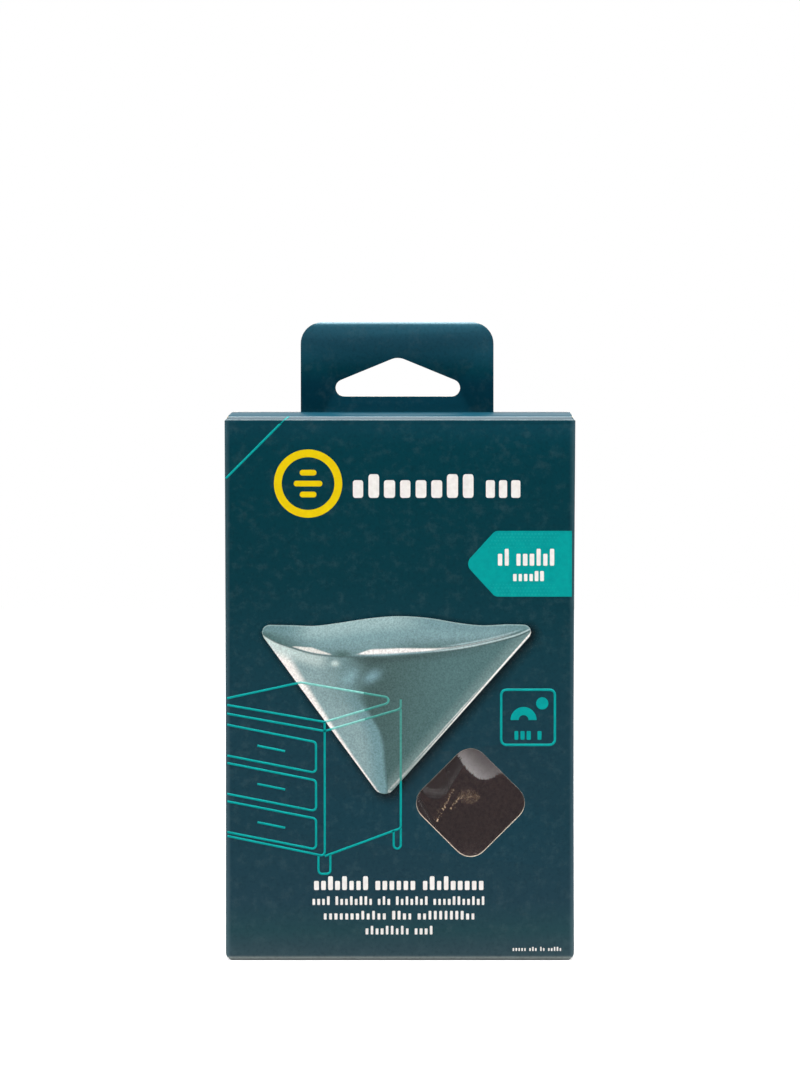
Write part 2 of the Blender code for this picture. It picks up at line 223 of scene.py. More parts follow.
@dataclass(frozen=True)
class PrintedBoard:
    """Folding boxboard: white-lined board, printed offset in deep petrol and varnished.

    The solid ink lies mottled on the board. Its colour by height also paints light: paler and
    warmer towards the foot as a painted floor reflection, near white on the bottom fold as a
    painted highlight, lighter at the lid's height as painted top light, and pale on the tab's
    top fold as a painted highlight. The varnish gives a soft sheen that only brightens at a
    grazing angle.
    """

    name: str = "printed boxboard with painted light"
    # Painted light in these stops: near white up to 1.3 mm is a painted highlight on the bottom fold, the
    # paling towards the foot is a painted floor reflection, 137.6 is a lighter lid top for painted top
    # light, and the last two are a painted highlight on the tab's top fold
    stops: tuple[tuple[float, str], ...] = (
        (0.0, "#2E454E"), (0.05, "#FBFBF8"), (0.32, "#FBFBF8"), (0.59, "#8C9592"), (0.81, "#526062"),
        (1.06, "#48575D"), (1.3, "#354B53"),
        (3.7, "#2D464E"), (7.5, "#22434A"), (15.0, "#1D3B47"), (35.0, "#163844"),
        (56.0, "#173945"), (76.0, "#113944"), (96.0, "#053640"), (116.0, "#013741"),
        (130.0, "#003843"), (136.0, "#083B48"), (137.6, "#0A4050"), (138.3, "#003645"),
        (144.5, "#003545"), (148.4, "#013F4C"), (152.3, "#164A5A"), (156.0, "#1B4757"),
        (159.6, "#245262"), (160.3, "#3A6675"), (160.6, "#7C9DA8"))
    top: float = 160.61
    blotch: float = 3.4
    speck: float = 0.9
    fibre: float = 0.5
    pale: str = "#4C6266"
    dark: str = "#02202A"
    blotch_range: tuple[float, float] = (0.51, 0.80)
    blotch_lift: float = 0.34
    speck_range: tuple[float, float] = (0.48, 0.72)
    speck_sink: float = 0.26
    # Painted highlight along the front's two vertical folds, stronger towards the foot
    fold_highlight: tuple[float, float] = (42.7, 43.8)
    fold_highlight_depth: tuple[float, float] = (-19.0, -19.9)
    fold_highlight_low: float = 0.21
    fold_highlight_high: float = 0.10
    fold_highlight_colour: str = "#86A0A8"
    roughness: tuple[float, float] = (0.35, 0.47)
    specular: float = 0.07
    tooth: float = 0.12
    tooth_depth: float = 0.03

    def build(self) -> Material:
        """Build the material."""
        material, tree, where = new_material(self.name)
        place = add_node(tree, "ShaderNodeSeparateXYZ", {"Vector": where}).outputs
        share = multiply(tree, place["Z"], 1 / (self.top * MM), use_clamp=True)
        base = colour_ramp(tree, share, [(z / self.top, colour) for z, colour in self.stops])
        blotch = fine_noise(tree, where, self.blotch, 9.0, 0.76)
        lift = remap(tree, blotch, self.blotch_range, (0.0, self.blotch_lift))
        mottled = mix_colour(tree, lift, base, linear(self.pale))
        speck = fine_noise(tree, where, self.speck, 3.0, 0.7)
        sink = remap(tree, speck, self.speck_range, (0.0, self.speck_sink))
        mottled = mix_colour(tree, sink, mottled, linear(self.dark))
        # A painted highlight lightens the front's two vertical folds, more towards the foot
        across = add_node(tree, "ShaderNodeMath", {0: place["X"]}, operation="ABSOLUTE").outputs[0]
        fold_band = remap(tree, across, (self.fold_highlight[0] * MM, self.fold_highlight[1] * MM), (0.0, 1.0))
        front = remap(tree, place["Y"], (self.fold_highlight_depth[0] * MM, self.fold_highlight_depth[1] * MM), (0.0, 1.0))
        amount = remap(tree, share, (0.0, 1.0), (self.fold_highlight_low, self.fold_highlight_high))
        fold_highlight_share = multiply(tree, multiply(tree, fold_band, front), amount)
        mottled = mix_colour(tree, fold_highlight_share, mottled, linear(self.fold_highlight_colour))
        fibre = fine_noise(tree, where, self.fibre)
        rough = remap(tree, fibre, (0.0, 1.0), self.roughness)
        finish_material(tree, {"Base Color": mottled, "Roughness": rough,
                               "Specular IOR Level": self.specular,
                               "Normal": relief(tree, fibre, self.tooth, self.tooth_depth)})
        return material


@dataclass(frozen=True)
class MottledSurface:
    """A matt surface with two close tones and a fine tooth, such as bare board or ink."""

    name: str
    light: str
    deep: str
    grain: float
    roughness: float = 0.6
    specular: float = 0.3
    tooth: float = 0.1
    tooth_depth: float = 0.05
    grain_range: tuple[float, float] = (0.35, 0.68)

    def build(self) -> Material:
        """Build the material."""
        material, tree, where = new_material(self.name)
        grain = fine_noise(tree, where, self.grain, 3.0, 0.65)
        share = remap(tree, grain, self.grain_range, (0.0, 1.0))
        colour = mix_colour(tree, share, linear(self.light), linear(self.deep))
        finish_material(tree, {"Base Color": colour, "Roughness": self.roughness,
                               "Specular IOR Level": self.specular,
                               "Normal": relief(tree, grain, self.tooth, self.tooth_depth)})
        return material


@dataclass(frozen=True)
class ToneInk:
    """Process inks of a printed picture: the tone is the mesh's own, with a fine grain."""

    name: str = "process ink picture"
    attribute: str = "tone"
    grain: float = 0.42
    contrast: float = 0.24
    roughness: float = 0.40
    specular: float = 0.1

    def build(self) -> Material:
        """Build the material."""
        material, tree, where = new_material(self.name)
        tone = add_node(tree, "ShaderNodeAttribute", attribute_name=self.attribute).outputs["Color"]
        grain = fine_noise(tree, where, self.grain, 2.0, 0.8)
        lift = remap(tree, grain, (0.3, 0.7), (1 - self.contrast, 1 + self.contrast))
        colour = add_node(tree, "ShaderNodeVectorMath", {0: tone, "Scale": lift},
                          operation="SCALE").outputs[0]
        finish_material(tree, {"Base Color": colour, "Roughness": self.roughness,
                               "Specular IOR Level": self.specular})
        return material


@dataclass(frozen=True)
class ShadeInk:
    """Black ink of a picture's soft shadow, which thins out with the mesh's own value."""

    name: str = "process ink shadow"
    attribute: str = "cover"
    hex_colour: str = "#0B1518"
    roughness: float = 0.45
    specular: float = 0.2

    def build(self) -> Material:
        """Build the material."""
        material, tree, _ = new_material(self.name)
        cover = add_node(tree, "ShaderNodeAttribute", attribute_name=self.attribute).outputs["Fac"]
        finish_material(tree, {"Base Color": linear(self.hex_colour), "Roughness": self.roughness,
                               "Specular IOR Level": self.specular, "Alpha": cover})
        return material


@dataclass(frozen=True)
class ThinFilm:
    """Polyester film: cast clear and glossy, seen by the little that its faces mirror."""

    name: str = "clear polyester film"
    tint: str = "#FFE6E8"
    mirror: float = 0.115
    roughness: float = 0.06
    ripple: float = 9.0
    ripple_strength: float = 0.15
    ripple_depth: float = 0.2

    def build(self) -> Material:
        """Build the material."""
        material, tree, where = new_material(self.name)
        ripple = fine_noise(tree, where, self.ripple)
        finish_material(tree, {"Base Color": linear(self.tint), "Metallic": 1.0,
                               "Roughness": self.roughness, "Alpha": self.mirror,
                               "Normal": relief(tree, ripple, self.ripple_strength, self.ripple_depth)})
        return material


@dataclass(frozen=True)
class SoftVinyl:
    """Soft clear vinyl: injection moulded, glossy, with a faint cloud inside."""

    name: str = "clear soft vinyl"
    tint: str = "#D6E0DD"
    cloud: float = 6.0
    roughness: tuple[float, float] = (0.10, 0.24)
    ior: float = 1.38
    specular: float = 0.3
    ripple_strength: float = 0.10
    ripple_depth: float = 0.1

    def build(self) -> Material:
        """Build the material."""
        material, tree, where = new_material(self.name)
        cloud = fine_noise(tree, where, self.cloud)
        rough = remap(tree, cloud, (0.0, 1.0), self.roughness)
        finish_material(tree, {"Base Color": linear(self.tint), "Roughness": rough,
                               "Transmission Weight": 1.0, "IOR": self.ior,
                               "Specular IOR Level": self.specular,
                               "Normal": relief(tree, cloud, self.ripple_strength, self.ripple_depth)})
        return material


def arc(centre: Point, radius: float, start: float, end: float, steps: int) -> list[Point]:
    """Give the points of an arc, both ends included; angles are in degrees."""
    angles = [math.radians(start + (end - start) * i / steps) for i in range(steps + 1)]
    return [(centre[0] + radius * math.cos(a), centre[1] + radius * math.sin(a)) for a in angles]


def rounded_polygon(inradius: float, corner: float, sides: int, turn: float, steps: int) -> list[Point]:
    """Give a regular polygon with rounded corners; a corner points at the angle turn."""
    reach = (inradius - corner) / math.cos(math.pi / sides)
    half = 180.0 / sides
    points: list[Point] = []
    for side in range(sides):
        heading = turn + 360.0 * side / sides
        centre = (reach * math.cos(math.radians(heading)), reach * math.sin(math.radians(heading)))
        points += arc(centre, corner, heading - half, heading + half, steps)
    return points


def rounded_corners(corners: list[tuple[float, float, float]], steps: int = 6) -> list[Point]:
    """Round a polygon's corners.

    Args:
        corners: Each corner's place and its radius, anticlockwise.
        steps: Steps of each round.

    Returns:
        The rounded outline.
    """
    outline: list[Point] = []
    for i, (x, y, radius) in enumerate(corners):
        here = Vector((x, y))
        back = (Vector(corners[i - 1][:2]) - here).normalized()
        ahead = (Vector(corners[(i + 1) % len(corners)][:2]) - here).normalized()
        half = math.acos(max(-1.0, min(1.0, back.dot(ahead)))) / 2
        if radius <= 0:
            outline.append((x, y))
            continue
        start = here + back * (radius / math.tan(half))
        end = here + ahead * (radius / math.tan(half))
        centre = here + (back + ahead).normalized() * (radius / math.sin(half))
        first, last = start - centre, end - centre
        begin = math.atan2(first.y, first.x)
        sweep = (math.atan2(last.y, last.x) - begin + math.pi) % (2 * math.pi) - math.pi
        for k in range(steps + 1):
            angle = begin + sweep * k / steps
            outline.append((centre.x + radius * math.cos(angle), centre.y + radius * math.sin(angle)))
    return outline


def smooth_curve(points: list[Point], steps: int = 6) -> list[Point]:
    """Run a Catmull-Rom curve through points.

    Args:
        points: The points that the curve passes.
        steps: Steps from each point to the next.

    Returns:
        The curve's points, both ends included.
    """
    run: list[Point] = []
    for i in range(len(points) - 1):
        four = [Vector(points[min(max(i + k, 0), len(points) - 1)]) for k in (-1, 0, 1, 2)]
        for step in range(steps):
            t = step / steps
            place = 0.5 * (2 * four[1] + (four[2] - four[0]) * t
                           + (2 * four[0] - 5 * four[1] + 4 * four[2] - four[3]) * t * t
                           + (3 * four[1] - four[0] - 3 * four[2] + four[3]) * t * t * t)
            run.append((place.x, place.y))
    run.append(tuple(points[-1]))
    return run


def height_at(run: list[Point], x: float) -> float:
    """Read a curve that goes from left to right at one x."""
    if x <= run[0][0]:
        return run[0][1]
    for (x0, y0), (x1, y1) in zip(run, run[1:]):
        if x <= x1:
            return y0 + (y1 - y0) * (x - x0) / max(x1 - x0, 1e-9)
    return run[-1][1]


def smoothstep(low: float, high: float, value: float) -> float:
    """Rise smoothly from 0 at low to 1 at high."""
    t = min(max((value - low) / (high - low), 0.0), 1.0)
    return t * t * (3 - 2 * t)


def falling(low: float, high: float, value: float) -> float:
    """Fall smoothly from 1 at low to 0 at high."""
    return 1 - smoothstep(low, high, value)


def plateau(rise: tuple[float, float], fall: tuple[float, float], value: float) -> float:
    """Rise smoothly to 1 over one range and fall back to 0 over the next."""
    return smoothstep(*rise, value) * falling(*fall, value)


def facing_front(y: float) -> Matrix:
    """Give a frame whose u is +X, v is +Z and normal is -Y, in the plane at y."""
    return Matrix(((1, 0, 0, 0), (0, 0, -1, y), (0, 1, 0, 0), (0, 0, 0, 1)))


def link_mesh(name: str, bm: Mesh, materials: Iterable[Material],
              smooth: Optional[float] = None) -> Object:
    """Turn a mesh in millimetres into an object in metres.

    Args:
        name: The object's name.
        bm: The mesh, which is freed.
        materials: The object's materials in order.
        smooth: The angle in degrees past which an edge stays sharp, or None for flat faces.

    Returns:
        The object, at the origin.
    """
    bmesh.ops.scale(bm, vec=(MM, MM, MM), verts=bm.verts)
    mesh = bpy.data.meshes.new(name)
    bm.to_mesh(mesh)
    bm.free()
    for material in materials:
        mesh.materials.append(material)
    if smooth is not None:
        mesh.shade_smooth()
        mesh.set_sharp_from_angle(angle=math.radians(smooth))
    obj = bpy.data.objects.new(name, mesh)
    bpy.context.collection.objects.link(obj)
    return obj


def add_prism(bm: Mesh, outline: list[Point], place: Matrix, low: float, high: float) -> None:
    """Add an anticlockwise outline to a mesh as a closed slab along its frame's normal."""
    bottom = [bm.verts.new(place @ Vector((u, v, low))) for u, v in outline]
    top = [bm.verts.new(place @ Vector((u, v, high))) for u, v in outline]
    bm.faces.new(list(reversed(bottom)))
    bm.faces.new(top)
    for i in range(len(outline)):
        j = (i + 1) % len(outline)
        bm.faces.new([bottom[i], bottom[j], top[j], top[i]])


def join_rings(bm: Mesh, rows: list[list[Vert]]) -> None:
    """Join each closed row of vertices to the next one."""
    for near, far in zip(rows, rows[1:]):
        for i in range(len(near)):
            j = (i + 1) % len(near)
            bm.faces.new([near[i], far[i], far[j], near[j]])


def close_slab(bm: Mesh, front: list[list[Vert]], back: list[list[Vert]]) -> None:
    """Join two like grids of vertices, one behind the other, to a closed slab."""
    for shell in (front, back):
        for near, far in zip(shell, shell[1:]):
            for k in range(len(near) - 1):
                bm.faces.new([near[k], far[k], far[k + 1], near[k + 1]])
    columns, rows = len(front) - 1, len(front[0]) - 1
    for i in range(columns):
        for k in (0, rows):
            bm.faces.new([front[i][k], front[i + 1][k], back[i + 1][k], back[i][k]])
    for i in (0, columns):
        for k in range(rows):
            bm.faces.new([front[i][k], front[i][k + 1], back[i][k + 1], back[i][k]])
    bmesh.ops.recalc_face_normals(bm, faces=bm.faces)


def apply_modifiers(obj: Object) -> None:
    """Swap an object's mesh for the one that its modifiers give, and drop them."""
    graph = bpy.context.evaluated_depsgraph_get()
    result = bpy.data.meshes.new_from_object(obj.evaluated_get(graph), preserve_all_data_layers=True,
                                             depsgraph=graph)
    obj.modifiers.clear()
    obj.data = result


def new_tree(name: str, amounts: Iterable[str],
             seeded: bool = True) -> tuple[Tree, bpy.types.bpy_prop_collection]:
    """Start a geometry tree with inputs for its geometry, named amounts, a seed and an ink.

    Args:
        name: The tree's name.
        amounts: The names of its number inputs.
        seeded: Whether it has a seed.

    Returns:
        The tree and the sockets of its inputs.
    """
    tree = bpy.data.node_groups.new(name, "GeometryNodeTree")
    sockets = [("Geometry", "Geometry")] + [(label, "Float") for label in amounts]
    sockets += [("Seed", "Int")] if seeded else []
    for label, kind in sockets + [("Ink", "Material")]:
        tree.interface.new_socket(name=label, in_out="INPUT", socket_type=f"NodeSocket{kind}")
    tree.interface.new_socket(name="Geometry", in_out="OUTPUT", socket_type="NodeSocketGeometry")
    return tree, add_node(tree, "NodeGroupInput").outputs


def end_tree(tree: Tree, made: Socket, material: Socket) -> None:
    """End a tree: stand its flat XY work up on the front, realise it and set its material."""
    stood = add_node(tree, "GeometryNodeTransform", {"Geometry": made, "Rotation": (math.pi / 2, 0, 0)})
    real = add_node(tree, "GeometryNodeRealizeInstances", {"Geometry": stood.outputs[0]})
    inked = add_node(tree, "GeometryNodeSetMaterial", {"Geometry": real.outputs[0], "Material": material})
    add_node(tree, "NodeGroupOutput", {"Geometry": inked.outputs[0]})


def grow(name: str, points: list[Point], edges: list[tuple[int, int]], tree: Tree,
         values: dict[str, Union[float, int, Material]]) -> Object:
    """Run a geometry tree on flat points and keep the result as a plain mesh.

    Args:
        name: The piece's name.
        points: Points on the front panel as X and Z in millimetres.
        edges: Pairs of points that are joined.
        tree: The geometry tree.
        values: The tree's inputs by name, with lengths in metres.

    Returns:
        The piece, with no modifier left on it.
    """
    mesh = bpy.data.meshes.new(name)
    mesh.from_pydata([(x * MM, y * MM, 0.0) for x, y in points], edges, [])
    obj = bpy.data.objects.new(name, mesh)
    bpy.context.collection.objects.link(obj)
    modifier = obj.modifiers.new("Growth", "NODES")
    modifier.node_group = tree
    for item in tree.interface.items_tree:
        if item.item_type == "SOCKET" and item.in_out == "INPUT" and item.name in values:
            modifier[item.identifier] = values[item.name]
    apply_modifiers(obj)
    return obj


def shift_mesh(obj: Object, x: float = 0.0, y: float = 0.0, z: float = 0.0) -> None:
    """Move an object's mesh by millimetres and leave the object at the origin."""
    obj.data.transform(Matrix.Translation((x * MM, y * MM, z * MM)))


def settle(obj: Object, body: Body = Body.CARTON, slot: Slot = Slot.CARD, *nodes: str) -> Object:
    """Give a piece to its body, let it stand for CAD nodes, and report it.

    Args:
        obj: The finished piece.
        body: The body that it rides on.
        slot: The record's material slot; not used.
        nodes: The CAD nodes that it replaces.

    Returns:
        The piece.
    """
    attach(obj, body.value)
    if nodes:
        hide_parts(*nodes)
    LOG.info("%s: %d faces on %s", obj.name, len(obj.data.polygons), body.value)
    return obj


class Panel:
    """A flat panel of the sheet: an anticlockwise outline seen from its printed side."""

    def __init__(self, place: Matrix, outline: Iterable[Point]) -> None:
        """Keep the panel's frame and outline."""
        self.place = place
        self.outline = [Vector(point) for point in outline]

    def mark(self, point: Vector) -> None:
        """Add a crease's end to the outline, unless a corner is there already."""
        if min((corner - point).length for corner in self.outline) < 0.01:
            return
        for i, start in enumerate(self.outline):
            run = self.outline[(i + 1) % len(self.outline)] - start
            along = (point - start).dot(run) / run.length_squared
            off = abs((point - start).cross(run)) / run.length
            if 0 < along < 1 and off < 0.01:
                self.outline.insert(i + 1, point)
                return
        raise ValueError(f"no edge of the panel passes through {tuple(point)}")


@dataclass
class FoldedSheet:
    """Card modelled at its middle: flat panels joined by folds of small radius."""

    root: Panel
    radius: float = 0.5
    steps: int = 7
    panels: list[Panel] = field(default_factory=list)
    bends: list[list[list[Vector]]] = field(default_factory=list)

    def __post_init__(self) -> None:
        """Count the first panel as one of the sheet's."""
        self.panels.append(self.root)

    def fold(self, parent: Panel, start: Point, end: Point, outline: Iterable[Point],
             degrees: float = 90.0, radius: Optional[float] = None,
             reach: Optional[Callable[[float], float]] = None) -> Panel:
        """Fold away from the printed side along one edge of a panel.

        Args:
            parent: The panel that carries the fold.
            start: The edge's first end, anticlockwise.
            end: The edge's last end.
            outline: The new panel, its crease on v = 0 and centred on u = 0.
            degrees: How far the new panel turns.
            radius: The fold's radius at the middle of the board.
            reach: Half the fold's length by the angle turned, where it isn't straight ended.

        Returns:
            The new panel.
        """
        radius = self.radius if radius is None else radius
        first, last = Vector(start), Vector(end)
        parent.mark(first)
        parent.mark(last)
        along = (last - first).normalized()
        u, v, middle = -along, Vector((along.y, -along.x)), (first + last) / 2
        base = parent.place @ Matrix((
            (u.x, v.x, 0, middle.x), (u.y, v.y, 0, middle.y), (0, 0, 1, 0), (0, 0, 0, 1)))
        half = (last - first).length / 2
        rows = []
        for step in range(self.steps + 1):
            angle = math.radians(degrees * step / self.steps)
            out, down = radius * math.sin(angle), radius * (math.cos(angle) - 1)
            end_at = reach(angle) if reach else half
            rows.append([base @ Vector((side, out, down)) for side in (-end_at, end_at)])
        self.bends.append(rows)
        turn = math.radians(degrees)
        shift = Matrix.Translation((0, radius * math.sin(turn), radius * (math.cos(turn) - 1)))
        child = Panel(base @ shift @ Matrix.Rotation(-turn, 4, "X"), outline)
        self.panels.append(child)
        return child

    def surface(self, front_normal: Vector) -> Mesh:
        """Make the middle surface.

        Args:
            front_normal: Where the first panel's printed side looks.

        Returns:
            The surface, its normals on the printed side.
        """
        bm = bmesh.new()
        for panel in self.panels:
            bm.faces.new([bm.verts.new(panel.place @ p.to_3d()) for p in panel.outline])
        for rows in self.bends:
            for near, far in zip(rows, rows[1:]):
                bm.faces.new([bm.verts.new(p) for p in (near[0], near[1], far[1], far[0])])
        bmesh.ops.remove_doubles(bm, verts=bm.verts, dist=0.01)
        bmesh.ops.recalc_face_normals(bm, faces=bm.faces)
        bm.faces.ensure_lookup_table()
        if bm.faces[0].normal.dot(front_normal) < 0:
            bmesh.ops.reverse_faces(bm, faces=bm.faces)
        return bm


def flap_outline(crease: float, length: float, taper: float, corner: float) -> list[Point]:
    """Give a flap that narrows by taper at each side and has rounded free corners."""
    half = crease / 2
    lean = math.degrees(math.atan2(taper, length))
    inner = math.tan(math.radians(90 - lean) / 2) * corner
    right = (half - taper - inner, length - corner)
    outline: list[Point] = [(-half, 0.0), (half, 0.0)]
    outline += arc(right, corner, lean, 90, 6)
    outline += arc((-right[0], right[1]), corner, 90, 180 - lean, 6)
    return outline


@dataclass
class BoardStock:
    """The board and its three faces: print outside, bare inside, raw where it is cut."""

    card: float = 0.5
    edge_round: float = 0.19
    burr_angle: float = 55.0
    sharp_angle: float = 32.0

    def materials(self) -> list[Material]:
        """Give the board's materials in the order of its faces' indices."""
        return [PRINT, BARE, RAW]

    def thicken(self, obj: Object) -> None:
        """Give a sheet the thickness of the board, half on each side of its middle."""
        solidify = obj.modifiers.new("Board", "SOLIDIFY")
        solidify.thickness = self.card * MM
        solidify.offset = 0.0
        solidify.use_even_offset = True
        solidify.material_offset = 1
        solidify.material_offset_rim = 2

    def cut(self, obj: Object, name: str, outline: list[Point], near: float, far: float) -> None:
        """Cut an outline, drawn as seen from the front, through a wall between two depths."""
        bm = bmesh.new()
        add_prism(bm, outline, facing_front(0), -far, -near)
        for face in bm.faces:
            face.material_index = 2
        cutter = link_mesh(name, bm, self.materials())
        boolean = obj.modifiers.new(name, "BOOLEAN")
        boolean.operation = "DIFFERENCE"
        boolean.solver = "EXACT"
        boolean.object = cutter
        apply_modifiers(obj)
        bpy.data.objects.remove(cutter, do_unlink=True)

    def soften(self, obj: Object) -> None:
        """Round the cut edges, where the knife leaves a narrow pale burr."""
        bevel = obj.modifiers.new("Burr", "BEVEL")
        bevel.limit_method = "ANGLE"
        bevel.angle_limit = math.radians(self.burr_angle)
        bevel.width = self.edge_round * MM
        bevel.segments = 2
        bevel.material = 2
        bevel.use_clamp_overlap = True
        apply_modifiers(obj)
        obj.data.shade_smooth()
        obj.data.set_sharp_from_angle(angle=math.radians(self.sharp_angle))


@dataclass
class Carton:
    """The folded carton with its two-ply hang tab; the window and hang hole are cut through."""

    stock: BoardStock
    width: float = 88.0
    depth: float = 40.0
    height: float = 137.5
    gap: float = 0.1
    fit: float = 0.3
    crease: float = 0.5
    ear: Point = (0.6, 0.75)
    base_inset: float = 0.04
    base_draw: float = 1.1
    foot_round: float = 2.1
    foot_cuts: tuple[float, ...] = (1.05, 1.35, 1.65)
    foot_from: tuple[float, float] = (43.25, 43.75)
    glue_flap: float = 12.0
    glue_taper: float = 6.0
    inset: float = 0.8
    outer_short: float = 1.2
    inner_flap: float = 28.0
    inner_taper: float = 2.0
    dust: float = 26.0
    dust_taper: float = 3.0
    dust_corner: float = 4.0
    tuck_slot: float = 3.2
    tab_width: float = 49.67
    tab_height: float = 23.1
    tab_corner: float = 5.5
    tab_offset: float = -1.03
    tab_lap: float = 10.0
    front_short: float = 1.35
    bow: tuple[float, float] = (0.12, 0.23)
    spread: tuple[float, float] = (0.12, 0.04)
    flare: float = 0.17
    bow_rows: int = 12
    bow_from: tuple[float, float] = (30.0, 43.0)
    bow_end: float = 4.0

    def back_outline(self, middle: float, crease: float, low: float, width: float,
                     tab: float) -> tuple[list[Point], float]:
        """Give the back panel with its tab, and the tab's top above the crease's middle."""
        card = self.stock.card
        top = self.height - middle
        tab_top = self.height + self.tab_height - (2 * card + self.gap) / 2 - middle
        left, right, corner = tab - self.tab_width / 2, tab + self.tab_width / 2, self.tab_corner
        outline = [(low - middle, 0.0), (-crease / 2, 0.0), (crease / 2, 0.0), (top, 0.0), (top, left)]
        rise = self.tab_rise()
        middle_x = tab_top + rise - corner
        turn = math.degrees(math.acos((corner - rise) / corner))
        outline += arc((middle_x, left + corner), corner, -90, -turn, 8)
        outline += arc((middle_x, right - corner), corner, turn, 90, 8)
        outline += [(top, right), (top, width), (low - middle, width)]
        return outline, tab_top

    def tab_rise(self) -> float:
        """Give how far the fold at the tab's top stands over the plies that it joins."""
        return (self.stock.card + self.gap) / 2 + self.stock.card / 2

    def tab_reach(self, turned: float) -> float:
        """Give half the tab's width on its top fold, where the rounded corners run on over it.

        Args:
            turned: How far the fold has turned, in radians.

        Returns:
            Half the width.
        """
        corner = self.tab_corner
        drop = self.tab_rise() * (1 - math.sin(turned))
        return self.tab_width / 2 - corner + math.sqrt(corner ** 2 - (corner - drop) ** 2)

    def tab_ply(self) -> list[Point]:
        """Give the tab's front ply, which hangs down from the fold at the tab's top."""
        half, corner = self.tab_width / 2 - self.tab_corner, self.tab_corner
        length = self.tab_height + self.tab_lap - self.stock.card / 2
        middle = corner - self.tab_rise()
        turn = math.degrees(math.asin(middle / corner))
        outline = arc((half, middle), corner, -turn, 0, 8)
        outline += [(self.tab_width / 2, length), (-self.tab_width / 2, length)]
        outline += arc((-half, middle), corner, 180, 180 + turn, 8)
        return outline

    def sheet(self) -> FoldedSheet:
        """Fold the carton's panels."""
        card, radius = self.stock.card, self.crease
        step = card + self.gap
        dust_low = card / 2 + 2 * step + radius
        dust_high = self.height - card - self.fit - card / 2 - radius
        crease = dust_high - dust_low
        low = card / 2 + radius
        high = self.height - self.front_short
        width = self.width - card - 2 * radius
        side = self.depth - card - 2 * radius
        half = width / 2
        front = Panel(facing_front(-self.depth / 2 + card / 2),
                      [(-half, low), (half, low), (half, high), (-half, high)])
        sheet = FoldedSheet(front, radius)
        # At the foot of each front corner the side reaches a little lower than its dust flap
        ear, ear_low = self.ear
        top = (dust_high - ear_low) / 2
        dust_end = dust_low - (dust_high + ear_low) / 2
        left = sheet.fold(front, (-half, dust_high), (-half, ear_low),
                          [(-top, 0), (top, 0), (top, side), (dust_end, side), (dust_end, ear), (-top, ear)])
        right_side = side + radius
        right = sheet.fold(front, (half, ear_low), (half, dust_high),
                           [(-top, 0), (top, 0), (top, ear), (-dust_end, ear), (-dust_end, right_side),
                            (-top, right_side)])
        end = crease / 2
        middle = (dust_low + dust_high) / 2
        back_low = card / 2 + step + radius
        back_width = width - step
        tab = half + self.tab_offset
        outline, tab_top = self.back_outline(middle, crease, back_low, back_width, tab)
        back = sheet.fold(left, (top, side), (dust_end, side), outline)
        tab_half = self.tab_reach(0.0)
        sheet.fold(back, (tab_top, tab - tab_half), (tab_top, tab + tab_half), self.tab_ply(),
                   180, step / 2, self.tab_reach)
        sheet.fold(back, (end, back_width), (-end, back_width),
                   flap_outline(crease, self.glue_flap, self.glue_taper, radius))
        bottom = width - 2 * self.base_inset
        outer = self.depth - card / 2 - radius - self.outer_short
        sheet.fold(front, (-bottom / 2, low), (bottom / 2, low),
                   flap_outline(bottom - 2 * self.base_draw, outer, radius, radius),
                   reach=lambda turned: bottom / 2 - self.base_draw * (1 - math.cos(turned)))
        sheet.fold(back, (back_low - middle, back_width - self.inset), (back_low - middle, self.inset),
                   flap_outline(back_width - 2 * self.inset, self.inner_flap, self.inner_taper,
                                self.dust_corner))
        dust = side - self.inset
        top_flap = flap_outline(dust - self.tuck_slot, self.dust, self.dust_taper, self.dust_corner)
        low_flap = flap_outline(dust - self.inset, self.dust, self.dust_taper, self.dust_corner)
        sheet.fold(left, (top, self.inset), (top, side - self.tuck_slot), top_flap)
        sheet.fold(left, (dust_end, side - self.inset), (dust_end, self.inset), low_flap)
        sheet.fold(right, (-top, side - self.tuck_slot), (-top, self.inset), top_flap)
        sheet.fold(right, (-dust_end, self.inset), (-dust_end, side - self.inset), low_flap)
        return sheet

    def waist(self, bm: Mesh) -> None:
        """Draw the side folds in a little at mid height and round off their foot, as in use."""
        rows = [self.height * row / self.bow_rows for row in range(1, self.bow_rows)]
        for z in [*self.foot_cuts, *rows]:
            geometry = bm.verts[:] + bm.edges[:] + bm.faces[:]
            bmesh.ops.bisect_plane(bm, geom=geometry, dist=1e-4, plane_co=(0, 0, z), plane_no=(0, 0, 1))
        for vert in bm.verts:
            over = self.foot_round - vert.co.z
            if over > 0:
                drawn = self.foot_round - math.sqrt(max(self.foot_round ** 2 - over ** 2, 0.0))
                drawn *= smoothstep(*self.foot_from, abs(vert.co.x))
                vert.co.x -= math.copysign(drawn, vert.co.x)
            near = smoothstep(*self.bow_from, abs(vert.co.x))
            share = (vert.co.z - self.bow_end) / (self.height - 2 * self.bow_end)
            along = math.sin(math.pi * min(max(share, 0.0), 1.0))
            if vert.co.x < 0:
                vert.co.x += (self.bow[0] * along - self.spread[0]) * near
            else:
                wide = self.spread[1] + self.flare * vert.co.z / self.height
                vert.co.x -= (self.bow[1] * along - wide) * near

    def hole(self) -> list[Point]:
        """Give the hang hole: the hull of two small end circles and a larger peak circle."""
        width, height, end_radius, peak_radius, below, offset = 32.1, 9.9, 2.2, 4.4, 9.2, -0.85
        bottom = self.height + self.tab_height - below - height
        end = Vector((width / 2 - end_radius, bottom + end_radius))
        peak = Vector((0, bottom + height - peak_radius))
        run = peak - end
        heading = math.degrees(math.atan2(run.y, run.x))
        side = heading - math.degrees(math.acos((end_radius - peak_radius) / run.length))
        outline = arc(end, end_radius, -90, side, 9)
        outline += arc(peak, peak_radius, side, 180 - side, 10)
        outline += arc((-end.x, end.y), end_radius, 180 - side, 270, 9)
        return [(x + offset, z) for x, z in outline]

